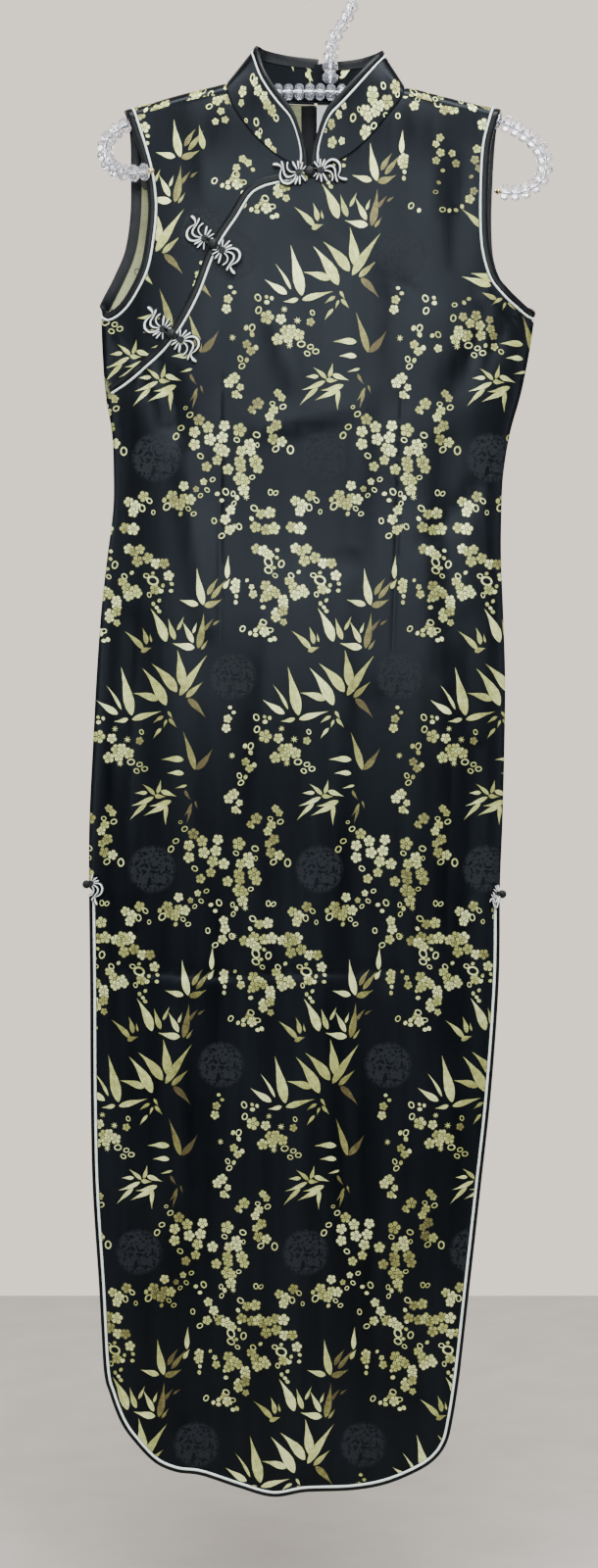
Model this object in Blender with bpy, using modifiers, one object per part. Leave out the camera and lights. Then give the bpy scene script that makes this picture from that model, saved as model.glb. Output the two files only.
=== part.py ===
"""A sleeveless brocade cheongsam, hung flat on a beaded hanger.

Metres, +Z up. The dress faces -Y and +X is its left as worn, on the viewer's right. The origin is the point inside the
hook where the hanger hangs. Tables are in millimetres, with x across, y in depth and z up, and each names its columns.

A cloth piece is drawn on a flat pattern of (x, height). Height is z, except round the top of the shoulder, where the
cloth turns over the hanger and height is measured along it. cloth_point() then gives the place of a pattern point on
the hung dress: the front is face -1, the back is face 1, and both meet at the side seams.
"""
import math

import bmesh
import bpy
from mathutils import Vector, geometry

MM = 0.001
FRONT, BACK = -1, 1

# Cloth and edges
CLOTH = 1.2                # thickness of a panel
COLLAR_CLOTH = 1.4
GAP = 0.3                  # between neighbouring pieces
PIPING = 2.8               # diameter of the white piping
BINDING = 6.0              # width of the black binding at collar, armholes and opening
SLIT_BINDING = 3.0         # width of the black binding at slits and hem
BINDING_THICK = 1.8
OVERLAP_RISE = 2.8         # how far the big front's opening edge stands over the small front
OVERLAP_REACH = 60.0       # the rise fades out over this distance
SEAM_DROP = 16.0           # the shoulder seam lies this far down the front, along the cloth
SLIT_TOP = -893.0

# Form of the hung dress
ARCH = 10.3                # radius of the cloth over the hanger's bar
ARCH_EXTRA = (math.pi / 2 - 1) * ARCH
SHOULDER_FALL = 80.0       # below the arch, the chest reaches its depth over this distance
EDGE_DEPTH = CLOTH / 2 + GAP / 2
LENS_POWER, LENS_ROOT = 2.6, 0.62
CENTRE_BACK_TOP = -15.0

# x, z of the shoulder ridge
RIDGE = [
    (-198.5, -141.5), (-187.0, -137.5), (-171.5, -133.5), (-148.0, -126.5), (-113.0, -118.0), (-101.5, -115.5),
    (72.0, -119.5), (100.0, -125.5), (121.5, -131.0), (153.0, -138.0), (162.5, -140.5),
]
# z, x of the left edge, x of the right edge
SIDES = [
    (-343.0, -222.5, 196.0), (-371.5, -221.5, 192.0), (-414.0, -218.5, 183.5), (-454.0, -212.0, 172.5),
    (-495.0, -210.5, 166.0), (-527.0, -211.0, 164.5), (-572.0, -216.5, 164.0), (-625.0, -222.5, 166.0),
    (-688.0, -227.0, 168.0), (-746.0, -230.0, 167.5), (-827.5, -234.0, 165.5), (-893.0, -234.5, 163.0),
    (-983.0, -233.5, 162.0), (-1090.5, -233.0, 154.5), (-1183.5, -231.0, 144.5), (-1278.0, -225.0, 134.0),
    (-1358.5, -220.5, 125.0), (-1482.0, -218.0, 118.0),
]
# z, depth of the front, depth of the back
DEPTHS = [
    (-115.0, 20.0, 16.0), (-200.0, 19.0, 17.0), (-340.0, 20.0, 17.0), (-440.0, 17.0, 14.5), (-530.0, 14.0, 13.0),
    (-640.0, 15.5, 16.0), (-727.0, 17.0, 18.0), (-893.0, 15.0, 16.0), (-1090.0, 12.0, 13.0), (-1300.0, 10.0, 11.0),
    (-1482.0, 9.0, 10.0),
]
# face, x and z of one end, x and z of the other, half width, height (a trough is negative)
FOLDS = [
    (FRONT, -150, -560, -168, -1180, 30, 2.4), (FRONT, -96, -700, -118, -1380, 26, -2.2),
    (FRONT, -35, -620, -52, -1440, 30, 2.2), (FRONT, 38, -720, 12, -1420, 24, -2.6),
    (FRONT, 92, -560, 70, -1300, 26, 2.4), (FRONT, 166, -345, 120, -410, 15, -3.0),
    (FRONT, -176, -388, -150, -455, 14, -2.6), (FRONT, 130, -640, 128, -960, 20, -2.0),
    (BACK, -140, -600, -160, -1300, 28, 2.4), (BACK, -70, -660, -95, -1400, 26, -2.4),
    (BACK, 20, -700, -5, -1420, 30, 2.2), (BACK, 88, -620, 70, -1320, 24, -2.6),
    (BACK, -150, -350, -105, -430, 16, -2.8), (BACK, 140, -350, 100, -440, 16, -2.8),
]

# x, z of the neck seam, from the shoulder ridge down to the centre front
NECK_LEFT = [
    (-101.5, -115.5), (-100.5, -125.0), (-95.0, -138.0), (-83.0, -154.5), (-71.0, -168.0), (-55.0, -182.5),
    (-39.0, -192.0), (-22.8, -197.0),
]
NECK_RIGHT = [
    (72.0, -119.5), (67.5, -130.0), (55.0, -144.5), (41.0, -161.5), (25.5, -177.5), (12.5, -187.0), (-3.0, -194.0),
    (-20.3, -197.0),
]
# x, z of the back neck seam, from the shoulder ridge to the centre back
BACK_NECK_LEFT = [(-101.5, -115.5), (-92.0, -120.0), (-76.0, -125.5), (-45.5, -130.5), (CENTRE_BACK_TOP, -132.0)]
BACK_NECK_RIGHT = [(72.0, -119.5), (62.5, -122.5), (47.5, -127.0), (16.0, -131.0), (CENTRE_BACK_TOP, -132.0)]
# x, z of the piping round each armhole, from the shoulder ridge to the underarm
ARMHOLE_FRONT_LEFT = [
    (-193.5, -139.5), (-184.5, -161.5), (-178.5, -180.5), (-173.0, -201.5), (-170.0, -221.0), (-169.0, -240.0),
    (-171.0, -262.0), (-177.0, -292.0), (-191.0, -319.0), (-203.0, -333.0), (-215.0, -341.0),
]
ARMHOLE_FRONT_RIGHT = [
    (157.5, -139.2), (150.0, -159.5), (145.5, -181.5), (143.5, -219.5), (143.5, -257.5), (146.0, -282.0),
    (153.0, -305.0), (164.5, -320.0), (177.0, -331.5), (188.0, -340.5),
]
ARMHOLE_BACK_LEFT = [
    (-193.5, -139.5), (-188.0, -164.0), (-187.3, -200.0), (-187.8, -240.0), (-191.0, -278.0), (-200.0, -307.0),
    (-214.5, -333.0),
]
ARMHOLE_BACK_RIGHT = [
    (157.5, -139.2), (152.5, -162.0), (149.8, -200.0), (148.3, -250.0), (151.5, -288.0), (163.5, -315.0),
    (184.0, -337.0),
]
# x, z of the piping along the front opening, from the centre front to the left side
OPENING = [
    (-21.0, -206.0), (-36.0, -207.5), (-51.5, -210.5), (-67.5, -215.0), (-79.0, -223.0), (-92.0, -244.0),
    (-105.5, -264.0), (-116.0, -285.0), (-129.0, -319.0), (-145.5, -349.5), (-161.5, -371.0), (-180.5, -388.5),
    (-197.5, -402.5), (-213.5, -412.5),
]
# x, z of the small front's edge under the big front, from the centre front to the left side
UNDERLAP = [
    (-23.0, -224.0), (-43.0, -232.0), (-66.0, -243.0), (-87.0, -277.0), (-101.0, -309.0), (-127.0, -361.0),
    (-160.0, -401.0), (-183.0, -418.0), (-199.0, -425.0),
]
# x, z of the finished edge below the slits, from the left slit round the hem to the right slit
SKIRT = [
    (-234.5, -900.0), (-233.5, -983.0), (-233.0, -1090.5), (-231.0, -1183.5), (-225.0, -1278.0), (-220.5, -1358.5),
    (-214.5, -1384.0), (-203.5, -1411.5), (-190.0, -1430.0), (-171.0, -1449.0), (-150.0, -1458.0),
    (-126.0, -1461.0), (-92.0, -1472.0), (-57.0, -1481.5), (-25.0, -1477.0), (18.0, -1475.5), (48.0, -1471.0),
    (74.0, -1462.0), (97.0, -1449.5), (111.0, -1432.5), (117.5, -1408.0), (125.0, -1358.5), (134.0, -1278.0),
    (144.5, -1183.5), (154.5, -1090.5), (162.0, -983.0), (163.0, -900.0),
]
# z, x of the centre back seam
CENTRE_BACK = [
    (-132.0, CENTRE_BACK_TOP), (-343.0, -13.5), (-527.0, -23.0), (-727.0, -31.0), (-893.0, -36.0),
    (-1183.0, -43.0), (-1482.0, -48.0),
]

# The stand collar. Its lengths run from the centre front, over COLLAR_FRONT to the shoulder ridge, to the centre back.
COLLAR_HEIGHT = 45.0
COLLAR_START = 1.6
COLLAR_CORNER = 13.0
COLLAR_FRONT, COLLAR_LENGTH = 116.0, 193.0
# length, x, y, z of the top edge
COLLAR_LEFT = [
    (0, -24.0, -21.0, -164.0), (25, -35.0, -20.5, -147.0), (54, -49.5, -18.5, -129.0), (83, -62.5, -14.0, -108.0),
    (102, -69.0, -7.5, -90.0), (116, -72.0, 1.0, -77.5), (128, -64.0, 8.5, -79.5), (156, -42.0, 13.0, -83.5),
    (193, -13.8, 15.0, -86.5),
]
COLLAR_RIGHT = [
    (0, -19.5, -22.5, -164.0), (25, -7.5, -21.0, -145.5), (54, 8.5, -18.5, -128.0), (83, 25.5, -14.0, -108.5),
    (102, 38.0, -7.5, -93.5), (116, 48.5, 1.0, -82.0), (128, 43.0, 8.5, -83.0), (156, 25.5, 13.0, -87.0),
    (193, -10.0, 15.0, -91.0),
]

# Frogs: name, x, z of the knot, angle of the fans' axis in degrees, scale
FROGS = [
    ("frog_neck", -21.0, -199.5, 6.0, 1.0),
    ("frog_chest", -115.5, -271.5, -36.0, 1.25),
    ("frog_side", -156.5, -357.5, -33.0, 1.25),
]
FAN_FROM_KNOT = 10.0
FAN_THICK = 2.2
KNOT_RADIUS, KNOT_HEIGHT = 4.6, 2.8
# direction in degrees from the fan's axis, length of the petal
PETALS = [
    (-150, 4.4), (-112, 6.5), (-84, 10.5), (-56, 13.5), (-28, 15.5), (0, 16.5), (28, 18.0), (56, 16.5), (84, 12.0),
    (112, 6.5), (150, 4.4),
]
SLIT_FROG_Z = -898.0
SLIT_FAN_IN = 7.5
SLIT_FAN_SCALE = 0.62
SLIT_KNOT = 3.4

# Zip and label at the centre back
ZIP_TOP, ZIP_END = -137.0, -560.0
TAPE_WIDTH, TAPE_THICK = 14.0, 1.0
SLIDER_Z, SLIDER_SIZE = -150.0, (6.0, 4.0, 10.0)
PULL_LENGTH, PULL_WIDTH, PULL_THICK = 22.0, 5.0, 1.2
LABEL_X, LABEL_Z, LABEL_THICK = (-14.0, 24.0), (-139.0, -172.0), 1.0

# Hanger
BEAD_RADIUS, BEAD_GROOVE, BEAD_PITCH = 8.3, 5.6, 10.2
BEAD_SIDES = 8
BEAD_CLEAR = 0.85          # between the beads and the cloth that lies on them
CAP_RADIUS, CAP_LENGTH = 3.6, 4.0
WIRE = 3.2
HOOK_RADIUS = 24.0
# x, y, z along the bar, from its left end round the left curl to its right end. z is None where the cloth lies on it.
BAR = [
    (-175.0, -24.0, -205.0), (-184.0, -23.0, -206.4), (-193.0, -21.0, -206.6), (-203.0, -17.5, -204.5),
    (-211.5, -13.5, -199.0), (-217.5, -9.5, -191.0), (-219.5, -6.0, -181.0), (-218.0, -3.5, -171.5),
    (-212.5, -1.5, -163.5), (-204.0, -0.4, -157.5), (-195.0, 0.0, -151.5), (-187.0, 0.0, None),
    (-171.5, 0.0, None), (-148.0, 0.0, None), (-130.0, 0.0, None), (-113.0, 0.0, None),
    (-101.5, 0.0, None), (-60.0, 0.0, -122.8), (-15.0, 0.0, -122.3), (30.0, 0.0, -124.0), (62.0, 0.0, -127.6),
    (74.0, 0.0, None), (86.0, 0.0, None), (100.0, 0.0, None), (121.5, 0.0, None), (137.0, 0.0, None),
    (153.0, 0.0, None), (163.0, 0.0, -150.8), (176.0, 0.0, -156.5),
    (190.0, 0.0, -165.0), (201.0, 0.0, -175.5), (207.5, 0.0, -188.5), (206.0, 0.0, -203.0), (197.5, 0.0, -213.5),
    (185.0, 0.0, -219.5), (172.0, 0.0, -220.5), (163.0, 0.0, -219.0),
]
# x, z up the stem from the bar to the hook
STEM = [
    (-1.0, -113.9), (-1.0, -93.0), (0.0, -81.0), (3.0, -69.5), (9.0, -60.0), (14.5, -51.5), (18.8, -43.0),
    (21.8, -34.5),
]

# name of the material: colour, metallic, roughness
MATERIALS = {
    "brocade": ((0.012, 0.017, 0.022), 0.0, 0.42),
    "binding": ((0.010, 0.012, 0.014), 0.0, 0.35),
    "piping": ((0.78, 0.86, 0.78), 0.0, 0.45),
    "cord": ((0.70, 0.76, 0.70), 0.0, 0.5),
    "knot": ((0.010, 0.011, 0.012), 0.0, 0.4),
    "tape": ((0.012, 0.012, 0.014), 0.0, 0.8),
    "zip_metal": ((0.05, 0.05, 0.055), 0.6, 0.35),
    "label": ((0.85, 0.85, 0.83), 0.0, 0.7),
    "bead": ((0.80, 0.82, 0.88), 0.0, 0.05),
    "wire": ((0.75, 0.76, 0.78), 1.0, 0.2),
    "cap": ((0.80, 0.66, 0.30), 1.0, 0.3),
}


# ---------------------------------------------------------------------------------------------- curves and tables
def read(rows, at, column=1):
    """One column of a table at a value of its first column, along a smooth curve through its rows."""
    rows = sorted(rows)
    if at <= rows[0][0]:
        return rows[0][column]
    if at >= rows[-1][0]:
        return rows[-1][column]
    i = next(k for k in range(1, len(rows)) if at <= rows[k][0])

    def slope(k):
        low, high = max(k - 1, 0), min(k + 1, len(rows) - 1)
        return (rows[high][column] - rows[low][column]) / (rows[high][0] - rows[low][0])

    span = rows[i][0] - rows[i - 1][0]
    s = (at - rows[i - 1][0]) / span
    return (
        rows[i - 1][column] * (2 * s**3 - 3 * s**2 + 1) + rows[i][column] * (3 * s**2 - 2 * s**3)
        + span * (slope(i - 1) * (s**3 - 2 * s**2 + s) + slope(i) * (s**3 - s**2))
    )


def curve(points, step):
    """Points about a step apart on the smooth curve through the given ones, which keeps both ends."""
    points = [Vector(p) for p in points]
    fine = [points[0]]
    for i in range(len(points) - 1):
        before, start = points[max(i - 1, 0)], points[i]
        end, after = points[i + 1], points[min(i + 2, len(points) - 1)]
        for k in range(1, 17):
            s = k / 16
            fine.append(0.5 * (
                2 * start + (end - before) * s + (2 * before - 5 * start + 4 * end - after) * s**2
                + (3 * start - before - 3 * end + after) * s**3
            ))
    along = [0.0]
    for a, b in zip(fine, fine[1:]):
        along.append(along[-1] + (b - a).length)
    count = max(2, round(along[-1] / step))
    found, k = [], 0
    for n in range(count + 1):
        want = along[-1] * n / count
        while k < len(fine) - 2 and along[k + 1] < want:
            k += 1
        share = (want - along[k]) / max(along[k + 1] - along[k], 1e-9)
        found.append(fine[k].lerp(fine[k + 1], min(share, 1.0)))
    return found


def shifted(points, distance, first=None):
    """The same flat polyline moved sideways, to the left of its direction where the distance is positive.

    first is the direction to take at the first point, where it isn't the polyline's own."""
    moved = []
    for i, p in enumerate(points):
        ahead = points[min(i + 1, len(points) - 1)] - points[max(i - 1, 0)]
        if i == 0 and first:
            ahead = first.copy()
        ahead.normalize()
        moved.append(Vector((p.x - ahead.y * distance, p.y + ahead.x * distance)))
    return moved


def smoothstep(s):
    s = max(0.0, min(1.0, s))
    return s * s * (3 - 2 * s)


# ---------------------------------------------------------------------------------------------- form of the dress
def ridge(x):
    return read(RIDGE, x)


def drop(x, height):
    """How far a pattern point lies down the cloth from the shoulder ridge."""
    return ridge(x) + ARCH_EXTRA - height


def flat(x, z):
    """The pattern point of a place on the hung dress that is seen at x and z."""
    fall = ridge(x) - z
    if fall >= ARCH:
        return Vector((x, z))
    return Vector((x, ridge(x) + ARCH_EXTRA - ARCH * math.acos(1 - max(fall, 0.0) / ARCH)))


def over_ridge(p):
    """The same place in the pattern of the other face."""
    return Vector((p.x, p.y + 2 * drop(p.x, p.y)))


def segment_distance(p, a, b):
    along = b - a
    share = max(0.0, min(1.0, (p - a).dot(along) / max(along.length_squared, 1e-9)))
    return (p - a - along * share).length, share


def folds(x, z, face):
    total = 0.0
    for side, x0, z0, x1, z1, width, height in FOLDS:
        if side == face:
            away, share = segment_distance(Vector((x, z)), Vector((x0, z0)), Vector((x1, z1)))
            fade = 0.35 + 0.65 * math.sin(math.pi * (0.1 + 0.8 * share))
            total += height * fade * math.exp(-((away / width) ** 2))
    return total


def lens_depth(x, z, face):
    """Depth of the dress below the shoulders: full at its middle, closed at its side edges."""
    left, right = read(SIDES, z, 1), read(SIDES, z, 2)
    out = min(1.0, abs(x - (left + right) / 2) / ((right - left) / 2))
    full = read(DEPTHS, z, 1 if face == FRONT else 2)
    return EDGE_DEPTH + full * (1 - out**LENS_POWER) ** LENS_ROOT + folds(x, z, face) * min(1.0, 6 * (1 - out))


def cloth_point(x, height, face, rise):
    top, down = ridge(x), drop(x, height)
    if down < 0:
        face, down = -face, -down
    quarter = ARCH * math.pi / 2
    if down < quarter:
        angle = down / ARCH
        return Vector((x, face * ARCH * math.sin(angle), top - ARCH * (1 - math.cos(angle))))
    z = top - ARCH - (down - quarter)
    fall = min(1.0, (down - quarter) / SHOULDER_FALL)
    depth = ARCH + (lens_depth(x, z, face) - ARCH) * (1 - (1 - fall) ** 2)
    return Vector((x, face * (depth + rise(x, z)), z))


def no_rise(x, z):
    return 0.0


OPENING_LINE = curve(OPENING, 12)


def overlap_rise(x, z):
    """The big front's opening edge lies over the small front."""
    p = Vector((x, z))
    away = min(segment_distance(p, a, b)[0] for a, b in zip(OPENING_LINE, OPENING_LINE[1:]))
    return OVERLAP_RISE * smoothstep(1.15 - away / OVERLAP_REACH)


def panel_skin(face, rise=no_rise):
    """A function that gives the place of a pattern point, lifted off the cloth's middle along its outward normal."""
    def place(p, lift=0.0):
        x, height = p[0], p[1]
        here = cloth_point(x, height, face, rise)
        if not lift:
            return here
        across = cloth_point(x + 0.5, height, face, rise) - cloth_point(x - 0.5, height, face, rise)
        up = cloth_point(x, height + 0.5, face, rise) - cloth_point(x, height - 0.5, face, rise)
        return here + across.cross(up).normalized() * (lift * -face)
    return place


def along(points, share):
    """The place at a share of a polyline's length, whose points lie evenly."""
    at = max(0.0, min(1.0, share)) * (len(points) - 1)
    k = min(int(at), len(points) - 2)
    return points[k].lerp(points[k + 1], at - k)


def collar_skin(top_edge, front_neck, back_neck, rise, mirror):
    """The same for a half collar, whose pattern is (length from the centre front, height over the neck seam)."""
    front_seam = list(reversed(curve([flat(x, z) for x, z in front_neck], 2)))
    back_seam = curve([flat(x, z) for x, z in back_neck[:-1]] + [flat(back_neck[-1][0] + mirror * GAP, -132.0)], 2)

    def middle(length, up):
        if length < COLLAR_FRONT:
            p, face = along(front_seam, length / COLLAR_FRONT), FRONT
        else:
            p, face = along(back_seam, (length - COLLAR_FRONT) / (COLLAR_LENGTH - COLLAR_FRONT)), BACK
        seam = cloth_point(p.x, p.y, face, rise if face == FRONT else no_rise)
        top = Vector([read(top_edge, length, k) for k in (1, 2, 3)])
        return seam.lerp(top, up / COLLAR_HEIGHT)

    def place(p, lift=0.0):
        here = middle(p[0], p[1])
        if not lift:
            return here
        across = middle(p[0] + 0.5, p[1]) - middle(p[0] - 0.5, p[1])
        up = middle(p[0], p[1] + 0.5) - middle(p[0], p[1] - 0.5)
        return here + across.cross(up).normalized() * (lift * mirror)
    return place


FRONT_SKIN, BACK_SKIN = panel_skin(FRONT), panel_skin(BACK)
BIG_FRONT_SKIN = panel_skin(FRONT, overlap_rise)
COLLAR_SKINS = {
    "left": collar_skin(COLLAR_LEFT, NECK_LEFT, BACK_NECK_LEFT, no_rise, -1),
    "right": collar_skin(COLLAR_RIGHT, NECK_RIGHT, BACK_NECK_RIGHT, overlap_rise, 1),
}


# ---------------------------------------------------------------------------------------------- making objects
def clear_scene():
    for old in list(bpy.data.objects):
        bpy.data.objects.remove(old, do_unlink=True)


def material(name):
    colour, metallic, roughness = MATERIALS[name]
    made = bpy.data.materials.new(name)
    made.use_nodes = True
    shader = made.node_tree.nodes["Principled BSDF"]
    shader.inputs["Base Color"].default_value = (*colour, 1.0)
    shader.inputs["Metallic"].default_value = metallic
    shader.inputs["Roughness"].default_value = roughness
    made.diffuse_color = (*colour, 1.0)
    return made


def add_object(name, data, look):
    data.materials.clear()
    data.materials.append(material(look))
    made = bpy.data.objects.new(name, data)
    PARTS.objects.link(made)
    made.parent = HANG_POINT
    return made


def mesh_object(name, points, faces, look):
    """An object from points in millimetres. Its faces are turned to point out where they close a body."""
    bm = bmesh.new()
    verts = [bm.verts.new(Vector(p) * MM) for p in points]
    for face in faces:
        bm.faces.new([verts[i] for i in face])
    bmesh.ops.recalc_face_normals(bm, faces=bm.faces)
    mesh = bpy.data.meshes.new(name)
    bm.to_mesh(mesh)
    bm.free()
    return add_object(name, mesh, look)


def loft(name, rings, look):
    """A closed body through rings with the same number of points."""
    count = len(rings[0])
    points = [p for ring in rings for p in ring]
    faces = [list(range(count)), list(range(len(points) - count, len(points)))]
    for r in range(len(rings) - 1):
        for k in range(count):
            after = (k + 1) % count
            faces.append([r * count + k, r * count + after, (r + 1) * count + after, (r + 1) * count + k])
    made = mesh_object(name, points, faces, look)
    made.data.shade_smooth()
    made.data.set_sharp_from_angle(angle=math.radians(40))
    return made


def inside(outline, p):
    """Whether a point lies in a flat outline, and how far it is from the edge."""
    within, nearest = False, 1e9
    for a, b in zip(outline, outline[1:] + outline[:1]):
        if (a.y > p.y) != (b.y > p.y) and p.x < a.x + (b.x - a.x) * (p.y - a.y) / (b.y - a.y):
            within = not within
        nearest = min(nearest, segment_distance(p, a, b)[0])
    return within, nearest


def tidy_outline(points, least=1.2):
    kept = []
    for p in points:
        if not kept or (p - kept[-1]).length > least:
            kept.append(p)
    if (kept[0] - kept[-1]).length <= least:
        kept.pop()
    return kept


def sheet(name, outline, inner, place, thick, look, margin=6.0):
    """A cloth wall: an outline filled with triangles on the pattern, placed on its skin and given thickness."""
    outline = tidy_outline(outline)
    kept = []
    for p in inner:
        within, nearest = inside(outline, p)
        if within and nearest > margin:
            kept.append(p)
    points, _, faces, *_ = geometry.delaunay_2d_cdt(outline + kept, [], [list(range(len(outline)))], 1, 1e-4)
    made = mesh_object(name, [place(p) for p in points], faces, look)
    made.data.shade_smooth()
    wall = made.modifiers.new("cloth", "SOLIDIFY")
    wall.thickness = thick * MM
    wall.offset = 0.0
    return made


def strip(name, path, side, width, low, high, place, look, first=None):
    """A flat binding with chamfered edges: side is its middle's distance from the path, low and high its faces."""
    half, chamfer, middle = width / 2, (high - low) * 0.35, (low + high) / 2
    section = [
        (-half, middle), (chamfer - half, high), (half - chamfer, high), (half, middle), (half - chamfer, low),
        (chamfer - half, low),
    ]
    lines = [shifted(path, side + across, first) for across, _ in section]
    rings = [[place(line[i], lift) for line, (_, lift) in zip(lines, section)] for i in range(len(path))]
    return loft(name, rings, look)


def cord(name, path, radius, lift, place, look, first=None, sides=5):
    turns = [2 * math.pi * k / sides for k in range(sides)]
    lines = [shifted(path, radius * math.cos(turn), first) for turn in turns]
    rings = [
        [place(line[i], lift + radius * math.sin(turn)) for line, turn in zip(lines, turns)]
        for i in range(len(path))
    ]
    return loft(name, rings, look)


def edge_trim(name, path, outward, place, binding=BINDING, first=None):
    """White piping on the path and a black binding outside it. outward is 1 or -1, the side of the bare edge."""
    base = -CLOTH / 2
    radius = PIPING / 2
    cord(f"{name}_piping", path, radius, base + radius, place, "piping", first)
    away = outward * (radius + GAP + binding / 2)
    strip(f"{name}_binding", path, away, binding, base, base + BINDING_THICK, place, "binding", first)


# ---------------------------------------------------------------------------------------------- panels
def pattern_grid(rows_step=44.0):
    """Points of the pattern in columns that follow the side edges, closer together near them."""
    shares = [-0.97, -0.91, -0.82, -0.70, -0.56, -0.40, -0.22, -0.04, 0.14, 0.32, 0.48, 0.63, 0.76, 0.87, 0.95]
    points, z = [], -150.0
    while z > -1482.0:
        left, right = read(SIDES, z, 1), read(SIDES, z, 2)
        for share in shares:
            points.append(Vector(((left + right) / 2 + share * (right - left) / 2, z)))
        z -= rows_step * (0.7 if z > -450 else 1.0)
    return points


def arch_grid():
    """Points of the back's pattern round the shoulder ridge."""
    points = []
    for down in (-10.6, -5.3, 0.0, 5.3, 10.6, 16.0):
        for x in range(-196, 165, 14):
            points.append(Vector((x, ridge(x) + ARCH_EXTRA - down)))
    return points


def cut_at_drop(points, least):
    """The part of a polyline that lies at least this far down from the ridge, with its exact ends."""
    kept = []
    for a, b in zip(points, points[1:]):
        fa, fb = drop(a.x, a.y) - least, drop(b.x, b.y) - least
        if fa >= 0:
            kept.append(a)
        if fa * fb < 0:
            kept.append(a.lerp(b, fa / (fa - fb)))
    if drop(points[-1].x, points[-1].y) >= least:
        kept.append(points[-1])
    return kept


def seam_line(x0, x1, down, step=12):
    """The shoulder seam between two values of x, with its points at multiples of the step."""
    low, high = sorted((x0, x1))
    xs = [low] + [x for x in range(-240, 240, step) if low + 2 < x < high - 2] + [high]
    if x1 < x0:
        xs.reverse()
    return [Vector((x, ridge(x) + ARCH_EXTRA - down)) for x in xs]


def flat_curve(table, step):
    """A table of x and z as an evenly spaced pattern line."""
    return curve([flat(x, z) for x, z in table], step)


def side_line(z0, z1, column, inward=0.0):
    count = max(1, round(abs(z1 - z0) / 36))
    sign = 1 if column == 1 else -1
    levels = [z0 + (z1 - z0) * k / count for k in range(count + 1)]
    return [Vector((read(SIDES, z, column) + sign * inward, z)) for z in levels]


def skirt_line(step=18.0):
    """The finished edge of slits and hem, with longer steps where it runs straight."""
    fine = curve([Vector(p) for p in SKIRT], step)
    straight = -1330.0
    return [p for i, p in enumerate(fine) if p.y < straight or i % 3 == 0 or i == len(fine) - 1]


NECK_BACK = 0.4                               # the panels stop short of the neck seam, under the collar's foot
FABRIC_IN = PIPING / 2 + GAP                  # from the piping's line to the panel's edge
SKIRT_PIPING_IN = SLIT_BINDING + GAP + PIPING / 2
SKIRT_FABRIC_IN = SKIRT_PIPING_IN + FABRIC_IN
ARMHOLES = {
    "front_left": flat_curve(ARMHOLE_FRONT_LEFT, 6),
    "front_right": flat_curve(ARMHOLE_FRONT_RIGHT, 6),
    "back_left": flat_curve(ARMHOLE_BACK_LEFT, 6),
    "back_right": flat_curve(ARMHOLE_BACK_RIGHT, 6),
}
HOLE_SIDE = {"left": -1, "right": 1}          # the armhole's side of a line that runs down from the shoulder


def thinned(points, arch_end=24.0):
    """Keeps each point round the shoulder and every second one below it."""
    last = len(points) - 1
    return [p for i, p in enumerate(points) if drop(p.x, p.y) < arch_end or i % 2 == 0 or i == last]


def armhole_fabric(key):
    side = key.split("_")[1]
    return thinned(shifted(ARMHOLES[key], -HOLE_SIDE[side] * FABRIC_IN))


def neck_fabric(table, side):
    return thinned(shifted(flat_curve(table, 5), side * NECK_BACK))


def skirt_fabric():
    return shifted(skirt_line(), SKIRT_FABRIC_IN)


def make_fronts():
    opening = shifted(flat_curve(OPENING, 12), FABRIC_IN)
    corner = Vector((NECK_RIGHT[-1][0], opening[0].y))
    side_top = Vector((read(SIDES, opening[-1].y - 3.0, 1), opening[-1].y - 3.0))
    armhole = list(reversed(cut_at_drop(armhole_fabric("front_right"), SEAM_DROP)))
    neck = cut_at_drop(neck_fabric(NECK_RIGHT, 1), SEAM_DROP)
    outline = [corner] + opening + [side_top] + side_line(side_top.y - 20, SLIT_TOP, 1) + skirt_fabric()[0:]
    outline += side_line(SLIT_TOP, -352.0, 2) + [Vector((193.5, -344.5))] + armhole
    outline += seam_line(armhole[-1].x, neck[0].x, SEAM_DROP) + neck
    sheet("front_main", outline, pattern_grid(), BIG_FRONT_SKIN, CLOTH, "brocade")

    neck = cut_at_drop(neck_fabric(NECK_LEFT, -1), SEAM_DROP)
    armhole = cut_at_drop(armhole_fabric("front_left"), SEAM_DROP)
    outline = list(reversed(neck)) + seam_line(neck[0].x, armhole[0].x, SEAM_DROP) + armhole
    outline += [Vector((-219.5, -345.0))] + side_line(-352.0, -398.0, 1)
    outline += [Vector((-208.0, -410.0))] + list(reversed(flat_curve(UNDERLAP, 14)))
    sheet("front_upper_left", outline, pattern_grid(), FRONT_SKIN, CLOTH, "brocade")


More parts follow.
